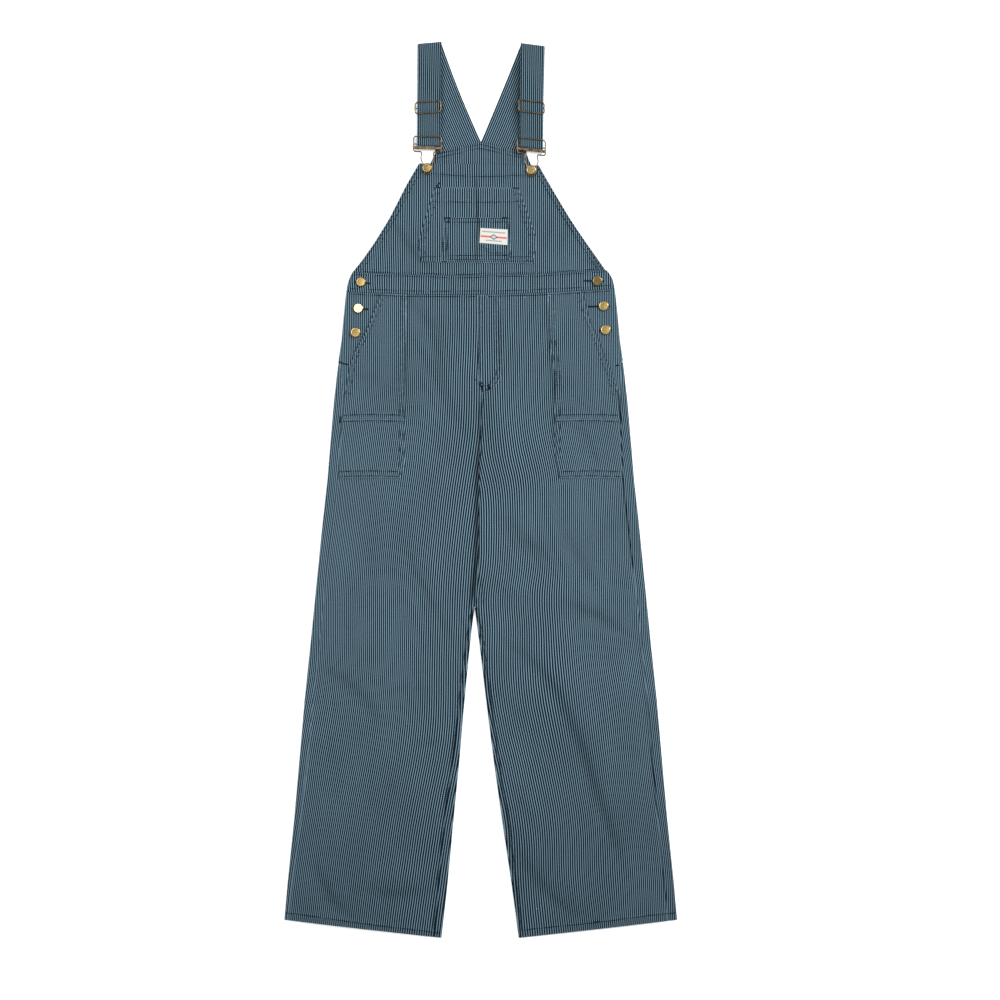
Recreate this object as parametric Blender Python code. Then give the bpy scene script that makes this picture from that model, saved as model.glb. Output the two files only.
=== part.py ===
"""Striped bib dungarees, laid flat with the front up.

The garment rests on the plane Z = 0, its shoulders towards +Y. The wearer's right is at -X.
Tables give x from the centre of the garment and h, the height above the lowest point of
the hems, both in millimetres. h becomes Y when half the length is taken off, so the origin
is at the bottom centre of the bounding box.
"""
import math

import bmesh
import bpy
from mathutils import Vector

MM = 0.001
LENGTH = 1387.9          # shoulder folds to the lowest hem point
SIDES = {"right": -1, "left": 1}

# cloth and how its layers lie on each other
CLOTH = 1.2              # one panel
BAND = 2.4               # waistband and hems, cloth doubled
PATCH = 1.0              # a pocket, fly or label on a panel
SEAM_GAP = 0.3           # between neighbouring pieces
AIR = 0.8                # between the back and front of a leg
ROLL_RADIUS = CLOTH + AIR / 2
LEG_LOW = CLOTH + AIR    # underside of the leg fronts
BIB_LOW = CLOTH + SEAM_GAP
ROLL_STEPS = 3           # facets round the back's rolled edge

# grids: cells along and across the pieces
LEG_ROWS = (18, 13, 4)   # hem to crotch, crotch to opening, opening to waist
FRONT_COLUMNS = 15
BACK_COLUMNS = 4
BAND_COLUMNS = 14
BIB_ROWS = 9
BIB_COLUMNS = 10
BACK_BIB_ROWS = (0.0, 0.3, 0.6, 0.9, 1.0)
BACK_BIB_COLUMNS = 8
CURVE_STEPS = 7          # facets of the fly's curve
CUTTER_REACH = (-20, 60) # z range of the outline cutters

# heights
CROTCH = 511.0
OPENING = 889.0          # bottom of the buttoned side openings
HEM_OUTER = 27.9         # the hems slant down to the inseams
HEM_INNER = 0.0
HEM_WIDTH = 10.5
BIB_HEM = 16.5
BIB_SIDE_HEM = 9.0
HEM_EXTRA = 0.8          # added thickness of the leg hems
HEM_STEP = 1.3           # run over which a hem's extra thickness ends

# half width of the garment: h, x
OUTER = (
    (27.9, 304.2), (89, 298.8), (182, 289.1), (275, 280.9), (368, 272.8), (461, 263.1),
    (523, 256.9), (585, 250.7), (647, 244.5), (709, 237.6), (771, 232.5), (833, 227.1),
    (864, 223.6), (895, 220.1), (926, 215.5), (957, 212.8), (988, 209.7), (1006, 207.4),
)
# how far the back rolls on to the front at the side seam: h, right leg, left leg
SIDE_ROLL = (
    (27, 13.0, 14.5), (370, 13.0, 14.5), (523, 13.5, 14.5), (600, 14.5, 16.5),
    (680, 16.0, 17.5), (770, 14.0, 15.0), (840, 13.7, 10.5), (889, 2.6, 2.6),
)
# the same at the inseam: h, roll
INSEAM_ROLL = ((0, 5.0), (460, 4.6), (511, 2.4))
# inner outline of the legs: h, right leg, left leg
INNER = (
    (0, -60.9, 58.8), (89, -50.8, 46.9), (182, -42.2, 33.0), (275, -33.0, 20.0),
    (368, -25.0, 8.3), (461, -15.9, -2.7), (511, -9.8, -9.5),
)
# centre seam: h, x
CENTRE = (
    (511, -9.65), (545, -4.4), (600, -3.2), (748, -2.0), (820, 0.2), (850, 0.0),
    (872, -3.6), (1030, -4.3), (1200, -3.6),
)
# waistband seams: x, h at the wearer's right, centre and left
WAIST_LOW = ((-208.4, 1000.5), (-4.3, 996.3), (206.5, 1005.8))
WAIST_HIGH = ((-198.8, 1030.8), (-4.3, 1025.6), (192.5, 1033.9))
# sides of the waistband: share of its height, right, left
WAIST_SIDES = ((0.0, -208.4, 207.4), (0.5, -205.2, 204.2), (0.8, -201.9, 199.6), (1.0, -198.6, 195.0))
# sides of the front bib: h, right, left
BIB_SIDES = (
    (1030, -199.2, 196.2), (1051, -182.9, 180.8), (1080, -163.2, 161.9), (1117, -140.6, 137.4),
    (1165, -115.9, 108.4), (1185, -104.2, 96.6), (1200, -95.0, 87.8),
)
BIB_TOP = (1199.6, 1196.2)          # h of the right and left top corners
# sides of the back bib: h, right, left
BACK_SIDES = ((1025, -200.0, 197.6), (1200, -77.8, 76.8), (1216, -70.3, 70.6))
BACK_SHOULDER = 1216.0              # h where the outer strap edges begin
BACK_PEAK = (0.4, 1233.0)           # x, h of the point between the straps

# pieces sewn on a panel: x, h round each outline
BIB_POCKET = (
    (-70.9, 1162.5), (-77.9, 1138.5), (-87.2, 1109.0), (-97.3, 1074.9), (-91.8, 1046.2),
    (79.4, 1043.9), (84.9, 1066.4), (84.9, 1085.8), (72.5, 1121.4), (64.6, 1142.5), (57.7, 1162.0),
)
SMALL_POCKET = (
    (-55.4, 1115.5), (-58.2, 1081.0), (-60.4, 1048.0), (48.0, 1048.6), (45.6, 1071.4), (43.0, 1115.2),
)
LABEL = ((-0.7, 1099.9), (41.8, 1097.9), (41.2, 1072.8), (-2.1, 1076.5))
HIP_PATCH = {
    "right": (
        (-115.1, 1012.0), (-118.0, 844.0), (-118.0, 804.0), (-214.6, 804.0), (-211.2, 841.0),
        (-202.7, 892.0), (-193.4, 916.8), (-178.2, 943.8), (-159.7, 992.8), (-152.0, 1012.0),
    ),
    "left": (
        (104.2, 1012.0), (105.8, 935.4), (110.4, 902.9), (115.1, 875.0), (114.6, 804.0),
        (215.4, 804.0), (212.4, 848.0), (202.4, 878.0), (192.4, 903.0), (183.8, 928.0),
        (168.9, 960.0), (159.1, 1002.0), (157.0, 1012.0),
    ),
}
HIP_PATCH_LOW = {
    "right": (
        (-118.0, 803.7), (-118.0, 730.8), (-125.2, 712.2), (-220.2, 712.2), (-214.6, 803.7),
    ),
    "left": (
        (115.1, 803.7), (115.1, 745.6), (122.1, 711.5), (219.3, 711.5), (215.4, 803.7),
    ),
}
FLY_LEFT_EDGE = ((2.7, 844.0), (1.8, 850.0), (-2.4, 873.0), (-3.2, 1012.0))
FLY_RIGHT_EDGE = ((29.1, 1012.0), (29.1, 992.8), (31.1, 936.0))
FLY_CURVE = (2.7, 881.0, 29.8, 37.0)   # centre x and h, half width and half height of the J

# folds of the leg fronts: rise on one side of the line, fall on it, half width, x and h along it
FOLDS = (
    (2.6, 2.4, 14, ((53, 446), (88, 412), (123, 368), (152, 300), (177, 221), (214, 130))),
    (1.6, 2.2, 14, ((53, 136), (92, 81), (146, 39))),
    (1.6, 1.6, 14, ((130, 510), (177, 500), (226, 471))),
    (1.4, 1.8, 15, ((24, 662), (50, 612), (96, 592))),
    (1.3, 1.5, 15, ((119, 672), (138, 616), (162, 568))),
    (-1.5, 1.6, 14, ((-133, 650), (-94, 546), (-46, 455))),
    (-1.6, 1.8, 15, ((-243, 416), (-203, 384), (-154, 335))),
    (-1.6, 2.0, 15, ((-262, 114), (-234, 60), (-196, 34))),
    (1.6, 2.0, 15, ((-174, 75), (-133, 69), (-92, 72))),
    (-1.2, 1.6, 14, ((-118, 985), (-94, 967), (-66, 940), (-71, 880), (-55, 818), (-16, 772))),
)
PUFF = ((0, 2.2), (60, 3.0), (850, 3.0), (996, 1.2))   # h, how far the leg fronts swell
BIB_PUFF = (1.2, 0.5)                                  # the bib's, at the waist and at the top
SEAM_VALLEY = (770.0, 850.0)     # the fronts dip at the centre seam below, not above

# straps
STRAP = 1.6
STRAP_HALF = 18.0
FOLD_RADIUS = 2.1        # middle of the cloth at the shoulder fold and round the bars
STRAP_BACK_STEPS = 6
STRAP_BOW = {"right": 2.4, "left": 0.6}   # how far the inner edges curve in at mid length
TURN_STEPS = 5           # facets in a half turn of the strap
# x of the front run at the fold, slider and buckle, and h of the outer and inner fold ends
STRAP_FRONT = {"right": (-79.2, -80.3, -80.7), "left": (80.5, 79.0, 78.5)}
STRAP_FOLD = {"right": (1384.9, 1388.0), "left": (1381.4, 1386.0)}

# slider and buckle, both of round wire
WIRE = 1.0               # wire radius
WIRE_SIDES = 6
SLIDER_AT = {"right": (-81.5, 1287.0), "left": (78.6, 1287.9)}
SLIDER_TILT = {"right": 0.07, "left": -0.12}     # rise of h along x
SLIDER_HALF = (20.7, 8.7)
SLIDER_Z = 8.0
MIDDLE_BAR_Z = 4.8
BAR_END = ((0.0, 1.2), (0.35, 0.35), (1.2, 0.0))   # how the middle bar's end turns up: inset, rise
BUCKLE_AT = {"right": (-82.3, 1193.5), "left": (78.4, 1190.1)}   # its button
BUCKLE_TILT = {"right": -0.03, "left": -0.115}
BUCKLE_HALF = 21.6
BUCKLE_TOP = 46.6        # above the button's centre, as are the next four
LOOP_BAR = 35.5
PLATE_AT = 29.8
SHOULDER_AT = 23.3
KEYHOLE_END = -10.8
LOOP_HALF = 6.0
NECK = ((8.9, 21.0), (9.3, 18.5), (10.3, 14.0), (9.6, 10.0), (7.4, 5.0), (6.2, 0.0))  # half width, height
LOOP_FLAT = 7.0          # the loop lies level below this height and rises above it
LOOP_Z = 5.45
BUCKLE_RISE = 0.0675
PLATE = (22.2, 1.9, 0.6)  # half width, half height and half thickness of the flat cross bar
CORNER = 4.0             # bend radius of the wire corners
CORNER_STEPS = 3

# buttons
BUTTON_SIDES = 18
SIDE_STEM = 1.1
BUTTON_CLEAR = 8.0       # from a button's centre to past its rim
# radius and height above the stem of the rolled rim and the face
BUTTON_HEAD = (
    (6.4, 0.0), (7.2, 0.4), (7.5, 1.1), (7.2, 1.8), (6.6, 2.1), (5.9, 1.8), (3.2, 2.3), (0.0, 2.5),
)
BUTTON_BASE = ((0.0, 0.0), (3.4, 0.0), (3.4, 0.7), (2.8, 0.8))
SIDE_BUTTONS = {
    "right": ((-185.3, 1015.6), (-189.6, 975.0), (-193.7, 937.4)),
    "left": ((180.5, 1017.1), (190.3, 978.5), (193.2, 941.6)),
}

# colours: base colour, roughness, metallic
FINISHES = {
    "striped_cloth": ((0.076, 0.122, 0.156), 0.85, 0.0),
    "brass": ((0.50, 0.36, 0.13), 0.32, 1.0),
    "antique_brass": ((0.26, 0.18, 0.09), 0.42, 1.0),
    "label_cloth": ((0.82, 0.80, 0.74), 0.8, 0.0),
}


def lerp(a, b, t):
    return a + (b - a) * t


def spread(a, b, count):
    """count + 1 even values from a to b."""
    return [lerp(a, b, k / count) for k in range(count + 1)]


def smooth(low, high, value):
    t = min(max((value - low) / (high - low), 0.0), 1.0)
    return t * t * (3 - 2 * t)


def look_up(table, key, column=1):
    """Straight-line interpolation in a table whose first column rises."""
    if key <= table[0][0]:
        return table[0][column]
    for low, high in zip(table, table[1:]):
        if key <= high[0]:
            return lerp(low[column], high[column], (key - low[0]) / (high[0] - low[0]))
    return table[-1][column]


def side_column(side):
    return 1 if side == "right" else 2


def waist_seam(ends, x):
    """Height of a waistband seam: the parabola through its two ends and centre."""
    total = 0.0
    for i, (xi, hi) in enumerate(ends):
        weight = 1.0
        for j, (xj, _) in enumerate(ends):
            if i != j:
                weight *= (x - xj) / (xi - xj)
        total += weight * hi
    return total


def place(x, h, z):
    return Vector((x, h - LENGTH / 2, z)) * MM


def finish(slot):
    """The Principled material of a slot, made once."""
    material = bpy.data.materials.get(slot)
    if material is None:
        colour, roughness, metallic = FINISHES[slot]
        material = bpy.data.materials.new(slot)
        material.use_nodes = True
        shader = material.node_tree.nodes["Principled BSDF"]
        shader.inputs["Base Color"].default_value = (*colour, 1.0)
        shader.inputs["Roughness"].default_value = roughness
        shader.inputs["Metallic"].default_value = metallic
    return material


def add_object(name, mesh_data, slot):
    mesh = bpy.data.meshes.new(name)
    bmesh.ops.recalc_face_normals(mesh_data, faces=mesh_data.faces)
    mesh_data.to_mesh(mesh)
    mesh_data.free()
    mesh.materials.append(finish(slot))
    piece = bpy.data.objects.new(name, mesh)
    bpy.context.collection.objects.link(piece)
    return piece


def slab(name, top, low, slot, present=None):
    """A cloth wall between two grids of points. present says which cells exist."""
    rows = len(top)
    columns = len(top[0])
    if present is None:
        def present(i, j):
            return True
    exists = [[present(i, j) for j in range(columns - 1)] for i in range(rows - 1)]
    data = bmesh.new()
    made = {}

    def corner(skin, i, j):
        key = (skin, i, j)
        if key not in made:
            grid = top if skin else low
            made[key] = data.verts.new(grid[i][j])
        return made[key]

    def filled(i, j):
        return 0 <= i < rows - 1 and 0 <= j < columns - 1 and exists[i][j]

    def wall(a, b):
        data.faces.new((corner(1, *a), corner(1, *b), corner(0, *b)))
        data.faces.new((corner(1, *a), corner(0, *b), corner(0, *a)))

    for i in range(rows - 1):
        for j in range(columns - 1):
            if not exists[i][j]:
                continue
            ring = ((i, j), (i, j + 1), (i + 1, j + 1), (i + 1, j))
            for skin in (1, 0):
                a, b, c, d = [corner(skin, *k) for k in ring]
                data.faces.new((a, b, c))
                data.faces.new((a, c, d))
            beyond = ((i - 1, j), (i, j + 1), (i + 1, j), (i, j - 1))
            for side, cell in enumerate(beyond):
                if not filled(*cell):
                    wall(ring[side], ring[(side + 1) % 4])
    return add_object(name, data, slot)


def prism(name, outline, low, high):
    """A hidden cutter: an outline of x and h, drawn out from z low to z high."""
    data = bmesh.new()
    floor = [data.verts.new(place(x, h, low)) for x, h in outline]
    roof = [data.verts.new(place(x, h, high)) for x, h in outline]
    data.faces.new(floor)
    data.faces.new(roof)
    for k in range(len(outline)):
        following = (k + 1) % len(outline)
        data.faces.new((floor[k], floor[following], roof[following], roof[k]))
    cutter = add_object(name, data, "striped_cloth")
    cutter.hide_render = True
    cutter.display_type = "WIRE"
    return cutter


def sewn_on(name, panel, outline, lift, slot, thickness=PATCH):
    """A piece cut from the panel's own facets, moved out by lift and trimmed to an outline."""
    xs = [x * MM for x, _ in outline]
    ys = [(h - LENGTH / 2) * MM for _, h in outline]

    def near(i, j):
        corners = (panel[i][j], panel[i][j + 1], panel[i + 1][j + 1], panel[i + 1][j])
        return (
            min(c.x for c in corners) < max(xs) and max(c.x for c in corners) > min(xs)
            and min(c.y for c in corners) < max(ys) and max(c.y for c in corners) > min(ys)
        )

    up_low = Vector((0, 0, lift * MM))
    up_top = Vector((0, 0, (lift + thickness) * MM))
    piece = slab(
        name,
        [[point + up_top for point in row] for row in panel],
        [[point + up_low for point in row] for row in panel],
        slot,
        near,
    )
    cutter = prism(name + "_outline", outline, *CUTTER_REACH)
    trim = piece.modifiers.new("trim", "BOOLEAN")
    trim.operation = "INTERSECT"
    trim.solver = "EXACT"
    trim.object = cutter
    return piece


def fold_rise(x, h):
    """Height that the folds add at a point: a ridge on one side of each line, a fall on it."""
    total = 0.0
    for ridge, fall, width, line in FOLDS:
        lengths = [math.dist(a, b) for a, b in zip(line, line[1:])]
        nearest = None
        before = 0.0
        for (ax, ah), (bx, bh), length in zip(line, line[1:], lengths):
            along = ((x - ax) * (bx - ax) + (h - ah) * (bh - ah)) / length ** 2
            along = min(max(along, 0.0), 1.0)
            off = math.dist((x, h), (lerp(ax, bx, along), lerp(ah, bh, along)))
            turn = (bx - ax) * (h - ah) - (bh - ah) * (x - ax)
            if nearest is None or off < nearest[0]:
                nearest = (off, math.copysign(off, turn), before + along * length)
            before += length
        _, off, run = nearest
        share = min(max(run / before, 0.0), 1.0)
        strength = math.sin(math.pi * lerp(0.06, 0.94, share)) ** 0.7
        outward = off * math.copysign(1.0, ridge)
        total -= fall * strength * math.exp(-(off / width) ** 2)
        total += abs(ridge) * strength * math.exp(-((outward - 1.7 * width) / (1.4 * width)) ** 2)
    return total


class LegRows:
    """The rows of one leg, hem to waist, shared by its front and back."""

    def __init__(self, side):
        self.side = side
        self.sign = SIDES[side]
        self.column = side_column(side)
        outer_end = WAIST_LOW[0] if side == "right" else WAIST_LOW[2]
        self.waist_outer = outer_end[1] - SEAM_GAP / 2
        self.waist_inner = WAIST_LOW[1][1] - SEAM_GAP / 2
        self.crotch = (CROTCH - HEM_INNER) / (self.waist_inner - HEM_INNER)
        self.opening = (OPENING - HEM_OUTER) / ((WAIST_LOW[0][1] + WAIST_LOW[2][1]) / 2 - HEM_OUTER)
        hem = HEM_WIDTH / self.waist_inner
        step = hem + HEM_STEP / self.waist_inner
        to_crotch, to_opening, to_waist = LEG_ROWS
        self.shares = [0.0, hem] + spread(step, self.crotch, to_crotch)
        self.crotch_row = len(self.shares) - 1
        self.shares += spread(self.crotch, self.opening, to_opening)[1:]
        self.opening_row = len(self.shares) - 1
        self.shares += spread(self.opening, 1.0, to_waist)[1:]

    def ends(self, v):
        """x and h of the garment's outer and inner edge on row v."""
        h_out = lerp(HEM_OUTER, self.waist_outer, v)
        h_in = lerp(HEM_INNER, self.waist_inner, v)
        x_out = self.sign * look_up(OUTER, h_out)
        if v <= self.crotch + 1e-9:
            x_in = look_up(INNER, h_in, self.column) + self.sign * SEAM_GAP / 2
        else:
            x_in = look_up(CENTRE, h_in) + self.sign * SEAM_GAP / 2
        return x_out, h_out, x_in, h_in

    def height(self, v, x):
        """h of row v at x. The last rows bend to follow the waistband seam."""
        x_out, h_out, x_in, h_in = self.ends(v)
        straight = lerp(h_out, h_in, (x - x_out) / (x_in - x_out))
        bend = waist_seam(WAIST_LOW, x) - SEAM_GAP / 2
        chord = lerp(self.waist_outer, self.waist_inner, (x - x_out) / (x_in - x_out))
        return straight + (bend - chord) * smooth(self.opening, 1.0, v)

    def side_roll(self, v):
        return look_up(SIDE_ROLL, self.ends(v)[1], self.column)

    def inseam_roll(self, v):
        return look_up(INSEAM_ROLL, self.ends(v)[3])

    def front_ends(self, v):
        """x of the front panel's outer and inner edge."""
        x_out, _, x_in, _ = self.ends(v)
        if v <= self.opening + 1e-9:
            x_out -= self.sign * (self.side_roll(v) + SEAM_GAP)
        if v <= self.crotch + 1e-9:
            x_in += self.sign * (self.inseam_roll(v) + SEAM_GAP)
        return x_out, x_in


def front_lift(u, x, h):
    """How far a leg front stands above its flat level; u runs 0 to 1, outer to inner edge."""
    level = smooth(*SEAM_VALLEY, h)
    closed = max(math.sin(math.pi * u), 0.0) ** 0.7
    opened = math.sin(math.pi * u / 2) ** 0.7
    edge = smooth(0.0, 0.12, u) * smooth(0.0, 0.12, 1 - u)
    lift = look_up(PUFF, h) * lerp(closed, opened, level) + edge * fold_rise(x, h)
    return max(lift, -0.3)


def leg_front(side):
    """A leg front from hem to waist seam; returns its upper grid."""
    leg = LegRows(side)
    top = []
    low = []
    for k, v in enumerate(leg.shares):
        x_out, x_in = leg.front_ends(v)
        thickness = CLOTH + (HEM_EXTRA if k < 2 else 0.0)
        top_row = []
        low_row = []
        for u in spread(0.0, 1.0, FRONT_COLUMNS):
            x = lerp(x_out, x_in, u)
            h = leg.height(v, x)
            z = LEG_LOW + front_lift(u, x, h)
            low_row.append(place(x, h, z))
            top_row.append(place(x, h, z + thickness))
        top.append(top_row)
        low.append(low_row)
    slab("leg_front_" + side, top, low, "striped_cloth")
    return top


def leg_back(side):
    """A leg back: flat below, rolled up and over at the side and at the inseam."""
    leg = LegRows(side)
    inner_radius = ROLL_RADIUS - CLOTH
    outside = []
    inside = []
    for v in leg.shares:
        x_out, _, x_in, _ = leg.ends(v)
        inward = -leg.sign
        below_crotch = v <= leg.crotch + 1e-9
        profile = [(x_out + inward * leg.side_roll(v), 2 * ROLL_RADIUS, LEG_LOW)]
        for k in range(ROLL_STEPS + 1):
            turn = math.pi / 2 - math.pi * k / ROLL_STEPS
            profile.append((x_out + inward * ROLL_RADIUS, turn))
        flat_end = x_in - inward * ROLL_RADIUS if below_crotch else x_in
        flat_start = x_out + inward * ROLL_RADIUS
        for k in range(1, BACK_COLUMNS):
            profile.append((lerp(flat_start, flat_end, k / BACK_COLUMNS), 0.0, CLOTH))
        for k in range(ROLL_STEPS + 1):
            turn = -math.pi / 2 - math.pi * k / ROLL_STEPS
            profile.append((flat_end, turn))
        profile.append((x_in - inward * leg.inseam_roll(v), 2 * ROLL_RADIUS, LEG_LOW))
        out_row = []
        in_row = []
        for entry in profile:
            if len(entry) == 3:
                x, z_out, z_in = entry
                h = leg.height(v, x)
                out_row.append(place(x, h, z_out))
                in_row.append(place(x, h, z_in))
            else:
                x, turn = entry
                for row, radius in ((out_row, ROLL_RADIUS), (in_row, inner_radius)):
                    along = x - inward * radius * math.cos(turn)
                    row.append(place(along, leg.height(v, along), ROLL_RADIUS + radius * math.sin(turn)))
        outside.append(out_row)
        inside.append(in_row)
    outer_cells = ROLL_STEPS + 1
    inner_start = outer_cells + BACK_COLUMNS

    def present(i, j):
        if j < outer_cells:
            return i < leg.opening_row
        if j >= inner_start:
            return i < leg.crotch_row
        return True

    slab("leg_back_" + side, outside, inside, "striped_cloth", present)


def waist_lift(u, amount):
    return amount * math.sin(math.pi * min(max(u, 0.0), 1.0)) ** 0.7


def band(name, inset, thickness, height):
    """A waistband: its seams follow the waist curves, its ends the side outlines."""
    top = []
    low = []
    for share, x_right, x_left in WAIST_SIDES:
        top_row = []
        low_row = []
        for u in spread(0.0, 1.0, BAND_COLUMNS):
            x = lerp(x_right + inset, x_left - inset, u)
            h_low = waist_seam(WAIST_LOW, x) + SEAM_GAP / 2
            h_high = waist_seam(WAIST_HIGH, x) - SEAM_GAP / 2
            h = lerp(h_low, h_high, share)
            z = height(u)
            low_row.append(place(x, h, z))
            top_row.append(place(x, h, z + thickness))
        top.append(top_row)
        low.append(low_row)
    slab(name, top, low, "striped_cloth")
    return top


def waistband_front():
    return band("waistband_front", 0.0, BAND, lambda u: BIB_LOW + waist_lift(u, BIB_PUFF[0]))


def waistband_back():
    return band("waistband_back", ROLL_RADIUS, CLOTH, lambda u: 0.0)


def bib_front():
    """The tapered front bib with its turned-in hems; returns its upper grid."""
    hem = BIB_HEM / (BIB_TOP[0] - WAIST_HIGH[0][1])
    step = HEM_STEP / (BIB_TOP[0] - WAIST_HIGH[0][1])
    shares = spread(0.0, 1 - hem - step, BIB_ROWS) + [1 - hem, 1.0]
    top = []
    low = []
    for k, t in enumerate(shares):
        h_right = lerp(WAIST_HIGH[0][1], BIB_TOP[0], t)
        h_left = lerp(WAIST_HIGH[2][1], BIB_TOP[1], t)
        x_right = look_up(BIB_SIDES, h_right, 1)
        x_left = look_up(BIB_SIDES, h_left, 2)
        xs = [x_right, x_right + BIB_SIDE_HEM]
        xs += spread(x_right + BIB_SIDE_HEM + HEM_STEP, x_left - BIB_SIDE_HEM - HEM_STEP, BIB_COLUMNS)
        xs += [x_left - BIB_SIDE_HEM, x_left]
        in_top_hem = k >= len(shares) - 2
        top_row = []
        low_row = []
        for j, x in enumerate(xs):
            u = (x - x_right) / (x_left - x_right)
            chord = lerp(WAIST_HIGH[0][1], WAIST_HIGH[2][1], u)
            sag = waist_seam(WAIST_HIGH, x) + SEAM_GAP / 2 - chord
            h = lerp(h_right, h_left, u) + sag * (1 - t)
            z = BIB_LOW + waist_lift(u, lerp(*BIB_PUFF, t))
            hemmed = in_top_hem or j < 2 or j > len(xs) - 3
            low_row.append(place(x, h, z))
            top_row.append(place(x, h, z + (BAND if hemmed else CLOTH)))
        top.append(top_row)
        low.append(low_row)
    slab("bib_front", top, low, "striped_cloth")
    return top


def bib_back():
    """The back bib, flat, rising to a point between the straps."""
    top = []
    low = []
    for t in BACK_BIB_ROWS:
        top_row = []
        low_row = []
        for u in spread(0.0, 1.0, BACK_BIB_COLUMNS):
            foot = lerp(BACK_SIDES[0][1], BACK_SIDES[0][2], u)
            h_foot = waist_seam(WAIST_HIGH, foot) + SEAM_GAP / 2
            peak = (BACK_PEAK[1] - BACK_SHOULDER) * (1 - abs(2 * u - 1))
            h = lerp(h_foot, BACK_SHOULDER + peak - SEAM_GAP / 2, t)
            h_edge = lerp(WAIST_HIGH[0][1], BACK_SHOULDER, t)
            x = lerp(look_up(BACK_SIDES, h_edge, 1), look_up(BACK_SIDES, h_edge, 2), u)
            top_row.append(place(x, h, CLOTH))
            low_row.append(place(x, h, 0.0))
        top.append(top_row)
        low.append(low_row)
    slab("bib_back", top, low, "striped_cloth")


def fly_outline():
    """The fly's outline, clockwise from the foot of its straight edge."""
    x, h, half_width, half_height = FLY_CURVE
    curve = []
    for k in range(CURVE_STEPS):
        turn = math.pi / 2 * k / CURVE_STEPS
        curve.append((x + half_width * math.cos(turn), h - half_height * math.sin(turn)))
    return FLY_LEFT_EDGE + FLY_RIGHT_EDGE + tuple(curve)


def strap_path(side):
    """Middle line of a strap's front run as (h, z, part), from the shoulder fold on."""
    fold_h = sum(STRAP_FOLD[side]) / 2 - FOLD_RADIUS - STRAP / 2
    slider_h = SLIDER_AT[side][1]
    button_h = BUCKLE_AT[side][1]
    bar_h = button_h + LOOP_BAR
    bar_z = buckle_z(LOOP_BAR)
    top_wire_h = button_h + BUCKLE_TOP
    over = MIDDLE_BAR_Z + WIRE + SEAM_GAP + STRAP / 2
    under = SLIDER_Z - WIRE - SEAM_GAP - STRAP / 2 - 0.1
    path = []
    for k in range(TURN_STEPS + 1):
        turn = -math.pi / 2 + math.pi * k / TURN_STEPS
        path.append((
            fold_h + FOLD_RADIUS * math.cos(turn),
            STRAP / 2 + FOLD_RADIUS + FOLD_RADIUS * math.sin(turn),
        ))
    path += [
        (1350.0, 4.5), (1318.0, 4.6), (slider_h + 16, 5.1),
        (slider_h + SLIDER_HALF[1], under), (slider_h + 4, over - 0.35), (slider_h + 1, over),
        (slider_h - 1, over), (slider_h - 4, over - 0.35), (slider_h - SLIDER_HALF[1], under),
        (slider_h - 17, 5.2), (top_wire_h + 12, 5.2), (top_wire_h, 5.85),
        (top_wire_h - 5, 7.4),
    ]
    for k in range(TURN_STEPS + 1):
        turn = math.pi / 2 + math.pi * k / TURN_STEPS
        path.append((bar_h + FOLD_RADIUS * math.cos(turn), bar_z + FOLD_RADIUS * math.sin(turn)))
    path += [(top_wire_h - 3, 4.25), (top_wire_h + 6, 3.5), (slider_h - 14, 2.8)]
    for k in range(TURN_STEPS // 2 + 1):
        turn = -math.pi / 2 + math.pi * k / TURN_STEPS
        path.append((
            slider_h + FOLD_RADIUS * math.cos(turn),
            MIDDLE_BAR_Z + FOLD_RADIUS * math.sin(turn),
        ))
    return path


def strap_cross(side, h):
    """Centre x, tilt and half width of a strap's front run at h."""
    at_fold, at_slider, at_buckle = STRAP_FRONT[side]
    outer_fold, inner_fold = STRAP_FOLD[side]
    fold_h = (outer_fold + inner_fold) / 2
    slider_h = SLIDER_AT[side][1]
    buckle_h = BUCKLE_AT[side][1] + BUCKLE_TOP
    rise = -SIDES[side] * (inner_fold - outer_fold) / (2 * STRAP_HALF)
    stations = (
        (buckle_h, at_buckle, BUCKLE_TILT[side], STRAP_HALF),
        (slider_h - 10, lerp(at_buckle, at_slider, 0.8), SLIDER_TILT[side], STRAP_HALF),
        (slider_h + 10, at_slider, SLIDER_TILT[side], STRAP_HALF),
        (fold_h, at_fold, rise, STRAP_HALF + 0.5),
    )
    return [look_up(stations, h, column) for column in (1, 2, 3)]


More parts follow.
